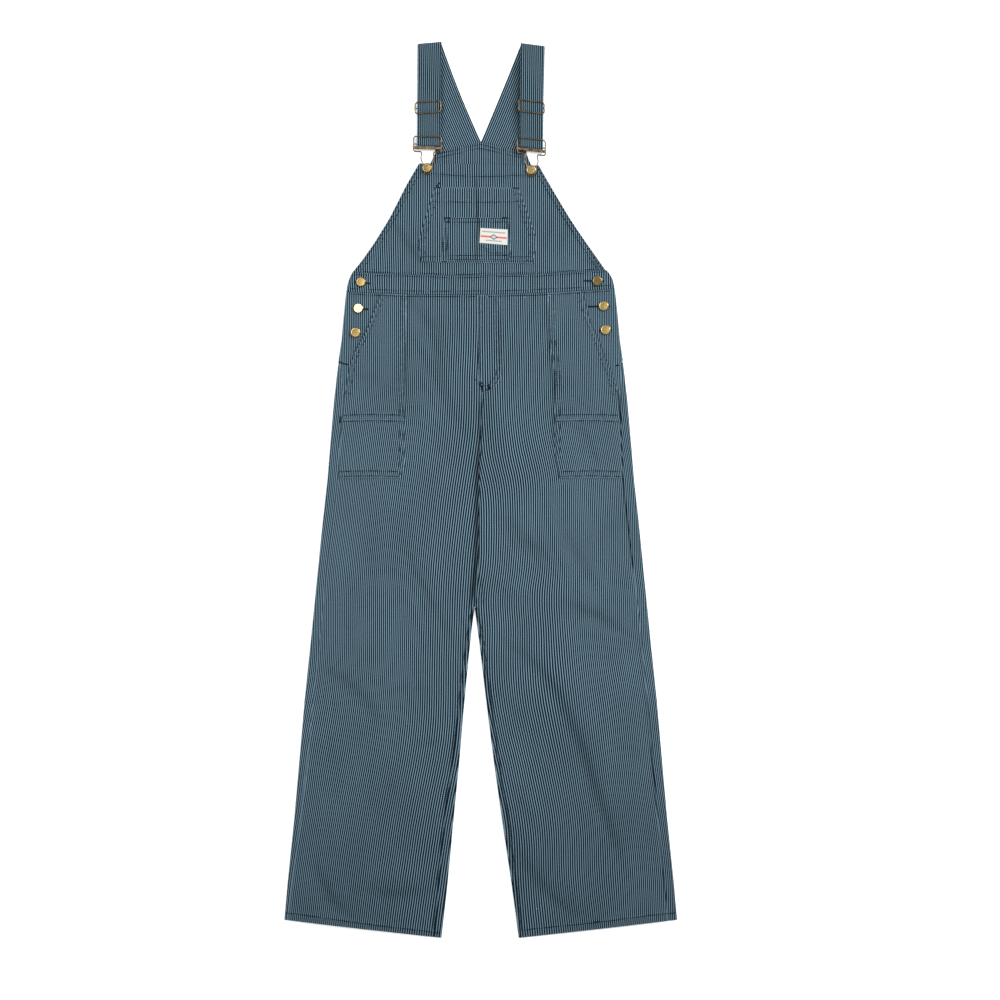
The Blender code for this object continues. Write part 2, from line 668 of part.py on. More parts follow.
def strap(side):
    """One strap, from the back bib over the shoulder fold to the buckle and back up."""
    sign = SIDES[side]
    outer_fold, inner_fold = STRAP_FOLD[side]
    top = []
    low = []
    half = STRAP / 2
    fold_x, _, fold_half = strap_cross(side, LENGTH)
    fold_drop = FOLD_RADIUS + half
    outer_start = Vector((look_up(BACK_SIDES, BACK_SHOULDER, side_column(side)), BACK_SHOULDER))
    outer_start.y += SEAM_GAP / 2
    inner_start = Vector((BACK_PEAK[0] + sign * SEAM_GAP / 2, BACK_PEAK[1] + SEAM_GAP / 2))
    outer_end = Vector((fold_x + sign * fold_half, outer_fold - fold_drop))
    inner_end = Vector((fold_x - sign * fold_half, inner_fold - fold_drop))
    for t in spread(0.0, 1.0, STRAP_BACK_STEPS)[:-1]:
        outer = outer_start.lerp(outer_end, t)
        inner = inner_start.lerp(inner_end, t)
        inner.x += sign * STRAP_BOW[side] * 4 * t * (1 - t)
        low.append([place(outer.x, outer.y, 0.0), place(inner.x, inner.y, 0.0)])
        top.append([place(outer.x, outer.y, STRAP), place(inner.x, inner.y, STRAP)])
    path = strap_path(side)
    for k, (h, z) in enumerate(path):
        before = path[max(k - 1, 0)]
        after = path[min(k + 1, len(path) - 1)]
        run = Vector((after[0] - before[0], after[1] - before[1]))
        if k == 0:
            run = Vector((1.0, 0.0))
        run.normalize()
        normal = Vector((-run.y, run.x)) * half
        x, tilt, half_width = strap_cross(side, h)
        top_row = []
        low_row = []
        for edge in (sign * half_width, -sign * half_width):
            lean = tilt * edge
            top_row.append(place(x + edge, h + lean + normal.x, z + normal.y))
            low_row.append(place(x + edge, h + lean - normal.x, z - normal.y))
        top.append(top_row)
        low.append(low_row)
    slab("strap_" + side, top, low, "striped_cloth")


def bend_corner(centre, radius, start, steps=CORNER_STEPS):
    """Points of a quarter bend, clockwise from the angle start."""
    points = []
    for k in range(steps + 1):
        turn = start - math.pi / 2 * k / steps
        points.append((centre[0] + radius * math.cos(turn), centre[1] + radius * math.sin(turn)))
    return points


def wire(points, closed, sides=WIRE_SIDES):
    """A bmesh of round wire along 3-D points, in millimetres of x, h, z."""
    data = bmesh.new()
    rings = []
    count = len(points)
    path = [Vector(p) for p in points]
    for k, here in enumerate(path):
        before = path[k - 1] if closed or k else here
        after = path[(k + 1) % count] if closed or k < count - 1 else here
        into = (here - before).normalized() if before != here else (after - here).normalized()
        out = (after - here).normalized() if after != here else into
        run = (into + out).normalized()
        up = Vector((0, 0, 1)) if abs(run.z) < 0.9 else Vector((0, 1, 0))
        across = run.cross(up).normalized()
        up = across.cross(run)
        stretch = 1 / max(math.sqrt((1 + into.dot(out)) / 2), 0.6)
        ring = []
        for s in range(sides):
            turn = 2 * math.pi * (s + 0.5) / sides
            offset = across * (WIRE * stretch * math.cos(turn)) + up * (WIRE * math.sin(turn))
            spot = here + offset
            ring.append(data.verts.new(place(*spot)))
        rings.append(ring)
    pairs = list(zip(rings, rings[1:]))
    if closed:
        pairs.append((rings[-1], rings[0]))
    for first, second in pairs:
        for s in range(sides):
            following = (s + 1) % sides
            data.faces.new((first[s], first[following], second[following], second[s]))
    if not closed:
        data.faces.new(rings[0])
        data.faces.new(rings[-1])
    return data


def join_by_union(piece, tool):
    """Fuse a helper solid into a piece and hide the helper."""
    tool.hide_render = True
    tool.display_type = "WIRE"
    fuse = piece.modifiers.new("fuse", "BOOLEAN")
    fuse.operation = "UNION"
    fuse.solver = "EXACT"
    fuse.object = tool


def slider(side):
    """A rounded wire frame with a lower middle bar that turns up to its sides."""
    x0, h0 = SLIDER_AT[side]
    half_width, half_height = SLIDER_HALF
    tilt = SLIDER_TILT[side]

    def spot(u, v, z):
        return (x0 + u, h0 + v + tilt * u, z)

    flat = []
    for sx, sy, start in ((1, 1, math.pi / 2), (1, -1, 0.0), (-1, -1, -math.pi / 2), (-1, 1, math.pi)):
        centre = (sx * (half_width - CORNER), sy * (half_height - CORNER))
        flat += bend_corner(centre, CORNER, start)
    frame = add_object("slider_" + side, wire([spot(u, v, SLIDER_Z) for u, v in flat], True), "antique_brass")
    bar = [(-half_width, SLIDER_Z - 0.2)]
    bar += [(inset - half_width, MIDDLE_BAR_Z + rise) for inset, rise in BAR_END]
    bar += [(-u, z) for u, z in reversed(bar)]
    middle = add_object("slider_bar_" + side, wire([spot(u, 0.0, z) for u, z in bar], False), "antique_brass")
    join_by_union(frame, middle)
    frame.data.shade_smooth()


def buckle_z(v):
    """Height of the buckle's wire at a distance v above its button."""
    return LOOP_Z + max(v - LOOP_FLAT, 0.0) * BUCKLE_RISE


def buckle(side):
    """A wire buckle: rounded frame, shoulders, keyhole loop, hidden loop bar and flat bar."""
    x0, h0 = BUCKLE_AT[side]
    tilt = BUCKLE_TILT[side]

    def spot(u, v, z=None):
        return (x0 + u, h0 + v + tilt * u, buckle_z(v) if z is None else z)

    half = []
    half += [(0.0, BUCKLE_TOP)]
    half += bend_corner((BUCKLE_HALF - CORNER, BUCKLE_TOP - CORNER), CORNER, math.pi / 2)
    half += [(BUCKLE_HALF, PLATE_AT)]
    half += bend_corner((BUCKLE_HALF - 3.0, SHOULDER_AT + 3.0), 3.0, 0.0)
    half += [(11.2, SHOULDER_AT)]
    half += list(NECK)
    loop_centre = KEYHOLE_END + LOOP_HALF
    for k in range(5):
        turn = math.pi / 2 * k / 5
        half.append((LOOP_HALF * math.cos(turn), loop_centre - LOOP_HALF * math.sin(turn)))
    end = [(0.0, KEYHOLE_END)]
    mirrored = [(-u, v) for u, v in reversed(half[1:])]
    outline = half + end + mirrored
    frame = add_object("buckle_" + side, wire([spot(u, v) for u, v in outline], True), "antique_brass")
    bar = add_object(
        "buckle_bar_" + side,
        wire([spot(-BUCKLE_HALF, LOOP_BAR), spot(BUCKLE_HALF, LOOP_BAR)], False),
        "antique_brass",
    )
    join_by_union(frame, bar)
    width, height, thickness = PLATE
    data = bmesh.new()
    corners = {}
    for sx in (-1, 1):
        for sy in (-1, 1):
            for sz in (-1, 1):
                base = spot(sx * width, PLATE_AT + sy * height)
                corners[sx, sy, sz] = data.verts.new(place(base[0], base[1], base[2] + sz * thickness))
    for ring in (
        ((-1, -1, -1), (1, -1, -1), (1, 1, -1), (-1, 1, -1)),
        ((-1, -1, 1), (1, -1, 1), (1, 1, 1), (-1, 1, 1)),
        ((-1, -1, -1), (1, -1, -1), (1, -1, 1), (-1, -1, 1)),
        ((-1, 1, -1), (1, 1, -1), (1, 1, 1), (-1, 1, 1)),
        ((-1, -1, -1), (-1, 1, -1), (-1, 1, 1), (-1, -1, 1)),
        ((1, -1, -1), (1, 1, -1), (1, 1, 1), (1, -1, 1)),
    ):
        data.faces.new([corners[key] for key in ring])
    plate = add_object("buckle_plate_" + side, data, "antique_brass")
    join_by_union(frame, plate)
    frame.data.shade_smooth()


def button(name, x, h, seat, stem):
    """A turned metal button: base, stem and a rimmed, domed head."""
    profile = list(BUTTON_BASE) + [(2.8, stem)] + [(r, z + stem) for r, z in BUTTON_HEAD]
    data = bmesh.new()
    rings = []
    for radius, z in profile:
        if radius == 0.0:
            rings.append([data.verts.new(place(x, h, seat + z))])
            continue
        ring = []
        for s in range(BUTTON_SIDES):
            turn = 2 * math.pi * s / BUTTON_SIDES
            rim = place(x + radius * math.cos(turn), h + radius * math.sin(turn), seat + z)
            ring.append(data.verts.new(rim))
        rings.append(ring)
    for first, second in zip(rings, rings[1:]):
        for s in range(BUTTON_SIDES):
            following = (s + 1) % BUTTON_SIDES
            if len(first) == 1:
                data.faces.new((first[0], second[s], second[following]))
            elif len(second) == 1:
                data.faces.new((first[s], first[following], second[0]))
            else:
                data.faces.new((first[s], first[following], second[following], second[s]))
    piece = add_object(name, data, "brass")
    piece.data.shade_smooth()


def highest_near(panel, x, h, reach):
    """Highest point of a panel's grid under a disc, in millimetres."""
    spot = place(x, h, 0.0)
    tops = []
    for row, next_row in zip(panel, panel[1:]):
        for j in range(len(row) - 1):
            corners = (row[j], row[j + 1], next_row[j + 1], next_row[j])
            clear = reach * MM
            if min(c.x for c in corners) - clear <= spot.x <= max(c.x for c in corners) + clear:
                if min(c.y for c in corners) - clear <= spot.y <= max(c.y for c in corners) + clear:
                    tops += [c.z / MM for c in corners]
    return max(tops)


def main():
    for old in list(bpy.data.objects):
        bpy.data.objects.remove(old)
    fronts = {}
    for side in SIDES:
        leg_back(side)
        fronts[side] = leg_front(side)
    waistband_back()
    front_band = waistband_front()
    bib_back()
    bib = bib_front()
    sewn_on("bib_pocket", bib, BIB_POCKET, SEAM_GAP, "striped_cloth")
    sewn_on("bib_pocket_small", bib, SMALL_POCKET, 2 * SEAM_GAP + PATCH, "striped_cloth")
    sewn_on("label", bib, LABEL, 3 * SEAM_GAP + 2 * PATCH, "label_cloth")
    sewn_on("fly", fronts["left"], fly_outline(), SEAM_GAP, "striped_cloth")
    for side in SIDES:
        sewn_on("hip_patch_" + side, fronts[side], HIP_PATCH[side], SEAM_GAP, "striped_cloth")
        sewn_on("hip_patch_low_" + side, fronts[side], HIP_PATCH_LOW[side], SEAM_GAP, "striped_cloth")
        strap(side)
        slider(side)
        buckle(side)
        x, h = BUCKLE_AT[side]
        seat = highest_near(bib, x, h, BUTTON_CLEAR) + SEAM_GAP
        button("button_bib_" + side, x, h, seat, LOOP_Z + WIRE + SEAM_GAP - seat)
        for number, (x, h) in enumerate(SIDE_BUTTONS[side], 1):
            panel = front_band if number == 1 else fronts[side]
            seat = highest_near(panel, x, h, BUTTON_CLEAR / 2) + SEAM_GAP
            button("button_side_%s_%d" % (side, number), x, h, seat, SIDE_STEM)


main()
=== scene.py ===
"""Striped bib dungarees, laid flat with the front up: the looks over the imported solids.

Tables give x from the centre and h above the lowest hem point, in millimetres, as in the
part's source. Every cloth piece is a thin closed shell on its own solid's form.
"""
import math

import bmesh
import bpy
import numpy as np
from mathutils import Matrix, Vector


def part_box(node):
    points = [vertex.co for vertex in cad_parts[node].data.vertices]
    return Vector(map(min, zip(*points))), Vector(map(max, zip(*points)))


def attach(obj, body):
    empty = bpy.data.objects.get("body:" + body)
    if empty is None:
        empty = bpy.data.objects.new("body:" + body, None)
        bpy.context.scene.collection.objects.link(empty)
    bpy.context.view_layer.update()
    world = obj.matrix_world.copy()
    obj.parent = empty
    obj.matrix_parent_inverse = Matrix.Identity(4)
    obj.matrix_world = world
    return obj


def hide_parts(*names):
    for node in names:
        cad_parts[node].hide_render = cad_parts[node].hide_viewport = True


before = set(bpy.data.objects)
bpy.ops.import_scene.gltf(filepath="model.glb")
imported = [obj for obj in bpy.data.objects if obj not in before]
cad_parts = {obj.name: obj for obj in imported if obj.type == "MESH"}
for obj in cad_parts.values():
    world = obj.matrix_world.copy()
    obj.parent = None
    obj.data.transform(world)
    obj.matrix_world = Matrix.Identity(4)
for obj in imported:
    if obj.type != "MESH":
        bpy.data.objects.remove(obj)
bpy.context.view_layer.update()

MM = 0.001
LENGTH = 1387.9
SIDES = {"right": -1, "left": 1}
COLUMN = {"right": 1, "left": 2}

# ---------------------------------------------------------------- measures of the cut
CLOTH = 1.2
BAND = 2.4
PATCH = 0.8
SEAM_GAP = 0.3
JOIN = 0.03          # half the gap between two edges that are sewn together
AIR = 0.8
ROLL_RADIUS = CLOTH + AIR / 2
LEG_LOW = CLOTH + AIR
BIB_LOW = CLOTH + SEAM_GAP

CROTCH = 511.0
OPENING = 889.0
HEM_OUTER = 27.9
HEM_WIDTH = 12.5
BIB_HEM = 16.5
BIB_SIDE_HEM = 9.0

OUTER = (
    (27.9, 304.2), (89, 298.8), (182, 289.1), (275, 280.9), (368, 272.8), (461, 263.1),
    (523, 256.9), (585, 250.7), (647, 244.5), (709, 237.6), (771, 232.5), (833, 227.1),
    (864, 223.6), (895, 220.1), (926, 215.5), (957, 212.8), (988, 209.7), (1006, 207.4),
)
SIDE_ROLL = (
    (27, 5.5, 14.5), (62, 6.0, 14.5), (173, 9.6, 14.5), (285, 12.5, 14.5), (370, 13.0, 14.5),
    (523, 13.5, 14.5), (600, 14.5, 16.5),
    (680, 16.0, 17.5), (770, 14.0, 15.0), (840, 13.7, 10.5), (889, 2.6, 2.6),
)
INSEAM_ROLL = {
    "right": ((0, 10.6), (100, 13.4), (184, 13.4), (265, 9.8), (300, 8.2), (400, 6.2), (460, 4.8),
              (511, 2.4)),
    "left": ((0, 2.8), (40, 4.2), (100, 6.4), (184, 7.6), (265, 6.2), (460, 4.6), (511, 2.4)),
}
INNER = (
    (0, -60.9, 58.8), (89, -50.8, 46.9), (182, -42.2, 33.0), (275, -33.0, 20.0),
    (368, -25.0, 8.3), (461, -15.9, -2.7), (511, -9.8, -9.5),
)
CENTRE = (
    (511, -9.65), (545, -4.4), (600, -3.2), (748, -2.0), (820, 0.2), (850, 0.0),
    (872, -3.6), (1030, -4.3), (1200, -3.6),
)
WAIST_LOW = ((-208.4, 1000.5), (-4.3, 996.3), (206.5, 1005.8))
WAIST_HIGH = ((-198.8, 1030.8), (-4.3, 1025.6), (192.5, 1033.9))
WAIST_SIDES = ((0.0, -208.4, 207.4), (0.5, -205.2, 204.2), (0.8, -201.9, 199.6), (1.0, -198.6, 195.0))
BIB_SIDES = (
    (1030, -199.2, 196.2), (1051, -182.9, 180.8), (1080, -163.2, 161.9), (1117, -140.6, 137.4),
    (1165, -115.9, 108.4), (1185, -104.2, 96.6), (1200, -95.0, 87.8),
)
BIB_TOP = (1199.6, 1196.2)
BACK_SIDES = ((1025, -200.0, 197.6), (1200, -77.8, 76.8), (1216, -70.3, 70.6))
BACK_SHOULDER = 1216.0
BACK_PEAK = (0.4, 1233.0)

# sewn-on pieces as the two long edges, foot to top
BIB_POCKET = (
    ((-91.8, 1046.2), (-97.3, 1074.9), (-87.2, 1109.0), (-77.9, 1138.5), (-70.9, 1162.5)),
    ((79.4, 1043.9), (84.9, 1066.4), (84.9, 1085.8), (72.5, 1121.4), (64.6, 1142.5), (57.7, 1162.0)),
)
SMALL_POCKET = (
    ((-60.4, 1048.0), (-58.2, 1081.0), (-55.4, 1115.5)),
    ((48.0, 1048.6), (45.6, 1071.4), (43.0, 1115.2)),
)
LABEL = (((-2.1, 1075.9), (-0.7, 1099.1)), ((41.2, 1072.3), (41.8, 1096.7)))
HIP_PATCH = {
    "right": (
        ((-118.0, 804.0), (-118.0, 844.0), (-115.1, 1012.0)),
        ((-214.6, 804.0), (-211.2, 841.0), (-202.7, 892.0), (-193.4, 916.8), (-178.2, 943.8),
         (-159.7, 992.8), (-152.0, 1012.0)),
    ),
    "left": (
        ((114.6, 804.0), (115.1, 875.0), (110.4, 902.9), (105.8, 935.4), (104.2, 1012.0)),
        ((215.4, 804.0), (212.4, 848.0), (202.4, 878.0), (192.4, 903.0), (183.8, 928.0),
         (168.9, 960.0), (159.1, 1002.0), (157.0, 1012.0)),
    ),
}
HIP_PATCH_LOW = {
    "right": (
        ((-125.2, 712.2), (-118.0, 730.8), (-118.0, 803.7)), ((-220.2, 712.2), (-214.6, 803.7)),
    ),
    "left": (
        ((122.1, 711.5), (115.1, 745.6), (115.1, 803.7)), ((219.3, 711.5), (215.4, 803.7)),
    ),
}
FLY_LEFT_EDGE = ((2.7, 844.0), (1.8, 850.0), (-2.4, 873.0), (-3.2, 1012.0))
FLY_RIGHT_EDGE = ((31.1, 936.0), (29.1, 992.8), (29.1, 1012.0))
FLY_CURVE = (2.7, 881.0, 29.8, 37.0)

# folds of the legs: rise beside the line, fall on it, half width, x and h along it; a little shade is also
# painted in their troughs
FOLDS = (
    (2.6, 2.4, 14, ((53, 446), (88, 412), (123, 368), (152, 300), (177, 221), (214, 130))),
    (1.6, 2.2, 14, ((53, 136), (92, 81), (146, 39))),
    (1.6, 1.6, 14, ((130, 510), (177, 500), (226, 471))),
    (1.4, 1.8, 15, ((24, 662), (50, 612), (96, 592))),
    (1.3, 1.5, 15, ((119, 672), (138, 616), (162, 568))),
    (-1.5, 1.6, 14, ((-133, 650), (-94, 546), (-46, 455))),
    (-1.6, 1.8, 15, ((-243, 416), (-203, 384), (-154, 335))),
    (-1.6, 2.0, 15, ((-262, 114), (-234, 60), (-196, 34))),
    (1.6, 2.0, 15, ((-174, 75), (-133, 69), (-92, 72))),
    (-1.2, 1.6, 14, ((-118, 985), (-94, 967), (-66, 940), (-71, 880), (-55, 818), (-16, 772))),
)
# finer creases of the scene alone, in the same form; shade is also painted in their troughs
CREASES = (
    (0.5, 1.5, 6, ((44, 449), (69, 436), (96, 411), (119, 376), (138, 333), (158, 287), (177, 229),
                   (194, 182), (212, 136), (227, 93))),
    (0.4, 1.2, 6, ((59, 128), (84, 93), (111, 58), (138, 39), (162, 35))),
    (0.4, 0.9, 6, ((127, 523), (154, 508), (185, 496), (220, 475))),
    (0.4, 0.9, 7, ((45, 647), (65, 616), (96, 594))),
    (0.3, 0.7, 7, ((119, 639), (138, 608), (162, 570), (177, 542))),
    (0.3, 0.8, 4, ((138, 793), (162, 780), (175, 752), (181, 721))),
    (0.3, 0.6, 9, ((14, 391), (45, 357), (72, 322))),
    (0.3, 0.7, 7, ((41, 236), (69, 198), (88, 163))),
    (0.2, 0.4, 6, ((204, 298), (228, 292), (251, 279))),
    (0.3, 1.0, 6, ((7, 860), (11, 790), (18, 740))),
    (0.3, 0.6, 7, ((26, 810), (29, 760), (34, 701))),
    (0.2, 0.4, 5, ((22, 957), (26, 918), (30, 880))),
    (0.3, 0.9, 6, ((185, 918), (200, 864), (216, 825))),
    (0.2, 0.5, 4, ((165, 151), (164, 110), (165, 74))),
    (0.3, 0.4, 6, ((150, 760), (180, 742), (210, 738))),
    (0.3, 0.4, 6, ((8, 560), (40, 530), (84, 520))),
    (-0.4, 1.0, 6, ((-116, 991), (-94, 965), (-72, 943), (-66, 918), (-68, 887), (-59, 852), (-46, 818),
                    (-23, 779))),
    (-0.3, 0.6, 5, ((-107, 926), (-86, 887), (-59, 837))),
    (-0.3, 0.7, 6, ((-218, 852), (-195, 870), (-168, 866), (-141, 845))),
    (-0.4, 0.9, 4.5, ((-124, 616), (-106, 577), (-86, 535), (-59, 488), (-28, 434))),
    (-0.4, 1.1, 7, ((-249, 416), (-210, 399), (-183, 374), (-160, 336))),
    (-0.4, 1.4, 6, ((-258, 114), (-240, 78), (-222, 47), (-199, 31))),
    (0.4, 1.0, 8, ((-176, 72), (-133, 64), (-79, 75))),
    (0.3, 0.5, 6, ((-102, 297), (-80, 299), (-59, 302))),
    (0.2, 0.4, 6, ((-164, 391), (-118, 384), (-71, 380))),
    (-0.3, 0.5, 8, ((-94, 740), (-84, 705), (-75, 678))),
    (-0.4, 0.4, 6, ((-14, 792), (-42, 742), (-88, 706))),
    (-0.3, 0.3, 6, ((-206, 640), (-180, 618), (-150, 612))),
    (-0.3, 0.3, 6, ((-18, 548), (-48, 520), (-90, 508))),
)
# creases of the bib, in the same form; shade is painted in their troughs, darkest along the last, the middle
# crease
BIB_CREASES = (
    (0.4, 0.8, 5, ((-141, 1112), (-118, 1081), (-94, 1050), (-71, 1031))),
    (0.3, 0.4, 6, ((138, 1112), (128, 1085), (119, 1058))),
    (0.2, 0.4, 6, ((107, 1112), (100, 1080), (96, 1058))),
    (0.3, 0.7, 14, ((160, 1060), (176, 1044), (190, 1026))),
    (0.2, 1.1, 1.7, ((-8.6, 1178), (-7.0, 1160), (-5.6, 1130), (-5.0, 1109), (-6.2, 1080), (-6.8, 1046))),
)
# line of the deep valley where the two legs meet, below the fly, along which shade is painted
VALLEY = ((-1.2, 836), (-2.0, 775), (-4.2, 745), (-5.4, 710), (-6.2, 647), (-6.6, 616), (-8.0, 577),
          (-10.6, 550), (-14.0, 514))
# narrow lines of painted shade: depth, half width, x and h along them; beside the hip patches, at the crotch
# and along the left side seam
PAINTED_SHADE_LINES = (
    (0.36, 2.1, ((-111.6, 997), (-113.4, 970), (-115.6, 900), (-116.4, 845), (-116.4, 806))),
    (0.36, 2.1, ((103.2, 985), (104.6, 926), (109.0, 880), (113.4, 845), (112.0, 800), (113, 745))),
    (0.50, 1.3, ((-8.0, 590.0), (-9.6, 570.0), (-11.4, 548.0), (-13.1, 537.1), (-16.6, 517.0),
                 (-19.4, 500.0))),
    (0.50, 1.2, ((-11.0, 553.0), (-8.1, 530.9), (-5.2, 513.4), (-1.6, 495.0))),
    (0.40, 1.2, ((-0.4, 560.0), (0.8, 545.0), (2.7, 530.9), (6.0, 511.0))),
    (0.34, 1.3, ((247.2, 477), (249.0, 436), (252.4, 398), (256.4, 366), (260.7, 326), (264.8, 291),
                 (267.0, 259), (270.9, 216))),
)
# where the cloth is pulled, the stripes part (-) or close up (+): x, h, spread in x and h, stripes per mm
PULLS = (
    (115, 384, 45, 110, -0.055), (208, 368, 45, 120, -0.035), (61, 732, 35, 45, -0.032),
    (152, 701, 25, 50, 0.022), (123, 531, 45, 40, -0.029), (227, 523, 25, 40, -0.03),
    (216, 97, 50, 60, -0.029), (-210, 655, 40, 110, 0.026), (-125, 430, 35, 90, 0.035),
    (-241, 306, 40, 90, -0.042), (-125, 856, 35, 60, 0.02),
)
PUFF = ((0, 2.2), (60, 3.0), (850, 3.0), (996, 1.2))
BIB_PUFF = (1.2, 0.5)
SEAM_VALLEY = (770.0, 850.0)

# straps
STRAP = 1.6
STRAP_HALF = 18.0
FOLD_RADIUS = 2.1
STRAP_BOW = {"right": 2.4, "left": 0.6}
BACK_ROWS = 59       # rows of a strap's back part
STRAP_TURN = 2772.0  # twice the shoulder's height: the stripes' run goes on down the front
STRAP_FRONT = {"right": (-79.2, -80.3, -80.7), "left": (80.5, 79.0, 78.5)}
STRAP_FOLD = {"right": (1384.9, 1388.0), "left": (1381.4, 1386.0)}

# metalwork
WIRE = 1.0
SLIDER_AT = {"right": (-81.5, 1285.6), "left": (78.6, 1286.3)}
SLIDER_TILT = {"right": 0.08, "left": -0.12}
SLIDER_HALF = (19.7, 8.7)
SLIDER_Z = 8.0
MIDDLE_BAR_Z = 4.8
BUCKLE_AT = {"right": (-82.3, 1193.5), "left": (78.4, 1190.1)}
BUCKLE_TILT = {"right": -0.03, "left": -0.115}
BUCKLE_HALF = 21.6
BUCKLE_TOP = 46.6
LOOP_BAR = 34.7
PLATE_AT = 29.4
SHOULDER_AT = 23.3
KEYHOLE_END = -10.8
LOOP_HALF = 6.0
NECK = ((8.9, 21.0), (9.3, 18.5), (10.3, 14.0), (9.6, 10.0), (7.4, 5.0), (6.2, 0.0))
LOOP_FLAT = 7.0
LOOP_Z = 5.45
BUCKLE_RISE = 0.0675
CORNER = 4.0
SIDE_BUTTONS = {
    "right": ((-185.3, 1015.6), (-189.6, 975.0), (-193.7, 937.4)),
    "left": ((180.5, 1017.1), (190.3, 978.5), (193.2, 941.6)),
}
BUTTON_HEAD_HEIGHT = 2.5     # the solid button's height above its stem
BUTTON_SIDES = 56
BUTTON_FOOT = ((0.0, 0.0), (3.4, 0.0), (3.4, 0.7), (2.8, 0.8))      # radius and height of the stem
# the dished head: radius and rise above the stem, from its underside round the rim to the middle
BUTTON_FACE = (
    (2.8, 0.0), (6.3, 0.0), (7.0, 0.25), (7.35, 0.6), (7.5, 1.1), (7.42, 1.5), (7.22, 1.85), (6.9, 2.12),
    (6.5, 2.27), (6.0, 2.32), (5.3, 2.29), (4.2, 2.25), (3.0, 2.22), (1.5, 2.2), (0.0, 2.19),
)
# how each button leans, in degrees about x and y
BUTTON_LEAN = {
    "button_side_right_1": (-1.0, 2.0), "button_side_right_2": (-3.2, 6.4),
    "button_side_right_3": (0.5, -1.0), "button_side_left_1": (1.0, -1.5),
    "button_side_left_2": (-1.5, 1.5), "button_side_left_3": (-2.0, 2.5),
    "button_bib_right": (-1.5, 1.5), "button_bib_left": (-1.0, 1.0),
}
# how bright each button's brass is painted for the light it catches: painted highlight and shade
BUTTON_PAINTED_LIGHT = {
    "button_side_right_1": 0.36, "button_side_right_2": 0.78, "button_side_right_3": 0.64,
    "button_side_left_1": 0.38, "button_side_left_2": 0.6, "button_side_left_3": 0.6,
    "button_bib_right": 0.32, "button_bib_left": 0.48,
}
# how far a bib button hangs from the middle of its loop
BUTTON_SHIFT = {"button_bib_right": (-0.7, -1.5), "button_bib_left": (-0.2, -1.2)}

# stripes: cycles per millimetre at the centre and how that grows outward
STRIPE = 0.2645
STRIPE_GROWTH = 0.00046
BIB_STRIPE = 0.284
BIB_STRIPE_GROWTH = 0.0003
STRAP_STRIPE = 0.314
# how the stripes lean outward going down: h, slope
LEAN = {
    "right": ((0, 0.13), (90, 0.14), (180, 0.16), (330, 0.13), (420, 0.04), (500, 0.03),
              (560, 0.09), (620, 0.13), (780, 0.11), (850, 0.02), (1000, 0.0)),
    "left": ((0, 0.08), (60, 0.05), (120, 0.06), (210, 0.17), (330, 0.14), (430, 0.08),
             (500, 0.01), (620, 0.0), (680, 0.05), (720, 0.17), (780, 0.12), (850, 0.03), (1000, 0.0)),
}


# ---------------------------------------------------------------- small mathematics
def smooth(low, high, value):
    t = np.clip((value - low) / (high - low), 0.0, 1.0)
    return t * t * (3 - 2 * t)


def read(table, key, column=1):
    return np.interp(key, [row[0] for row in table], [row[column] for row in table])


def waist_seam(ends, x):
    total = 0.0
    for i, (xi, hi) in enumerate(ends):
        weight = 1.0
        for j, (xj, _) in enumerate(ends):
            if i != j:
                weight = weight * (x - xj) / (xi - xj)
        total = total + weight * hi
    return total


def lattice(i, j, seed):
    wave = np.sin(i * 127.1 + j * 311.7 + seed * 74.7) * 43758.5453
    return 2 * (wave - np.floor(wave)) - 1


def ripple(x, y, seed):
    """Smooth even noise from -1 to 1."""
    i, j = np.floor(x), np.floor(y)
    fx, fy = x - i, y - j
    fx = fx * fx * (3 - 2 * fx)
    fy = fy * fy * (3 - 2 * fy)
    low = lattice(i, j, seed) * (1 - fx) + lattice(i + 1, j, seed) * fx
    high = lattice(i, j + 1, seed) * (1 - fx) + lattice(i + 1, j + 1, seed) * fx
    return low * (1 - fy) + high * fy


def from_line(x, h, line):
    """Distance, signed distance and share of the run of points from a polyline."""
    best = np.full(np.shape(x), 1e9)
    signed = np.zeros(np.shape(x))
    run = np.zeros(np.shape(x))
    before = 0.0
    for (ax, ah), (bx, bh) in zip(line, line[1:]):
        length = math.dist((ax, ah), (bx, bh))
        along = np.clip(((x - ax) * (bx - ax) + (h - ah) * (bh - ah)) / length ** 2, 0, 1)
        off = np.hypot(x - ax - along * (bx - ax), h - ah - along * (bh - ah))
        turn = (bx - ax) * (h - ah) - (bh - ah) * (x - ax)
        closer = off < best
        best = np.where(closer, off, best)
        signed = np.where(closer, np.copysign(off, turn), signed)
        run = np.where(closer, before + along * length, run)
        before += length
    return best, signed, run / before


def fade_ends(share):
    """Strength of a fold along its run: weak at both ends."""
    return np.sin(math.pi * (0.06 + 0.88 * share)) ** 0.7


def fold_rise(folds, x, h):
    total = np.zeros(np.shape(x))
    for ridge, fall, width, line in folds:
        _, off, share = from_line(x, h, line)
        strength = fade_ends(share)
        outward = off * math.copysign(1.0, ridge)
        total = total - fall * strength * np.exp(-(off / width) ** 2)
        total = total + abs(ridge) * strength * np.exp(-((outward - 1.7 * width) / (1.4 * width)) ** 2)
    return total


def cavity(folds, x, h, share=1.0):
    """Depth of the folds' troughs, with each line's width times share, for painting shade in them."""
    total = np.zeros(np.shape(x))
    for _, fall, width, line in folds:
        _, off, run = from_line(x, h, line)
        strength = fade_ends(run)
        total = total + fall * strength * np.exp(-(off / (share * width)) ** 2)
    return total


def place(x, h, z):
    x, h, z = np.broadcast_arrays(x, h, z)
    return np.stack([x, h - LENGTH / 2, z], -1) * MM


# ---------------------------------------------------------------- seams, seen by every panel
STITCHES = {"legs": [], "bib": [], "band": [], "back": []}


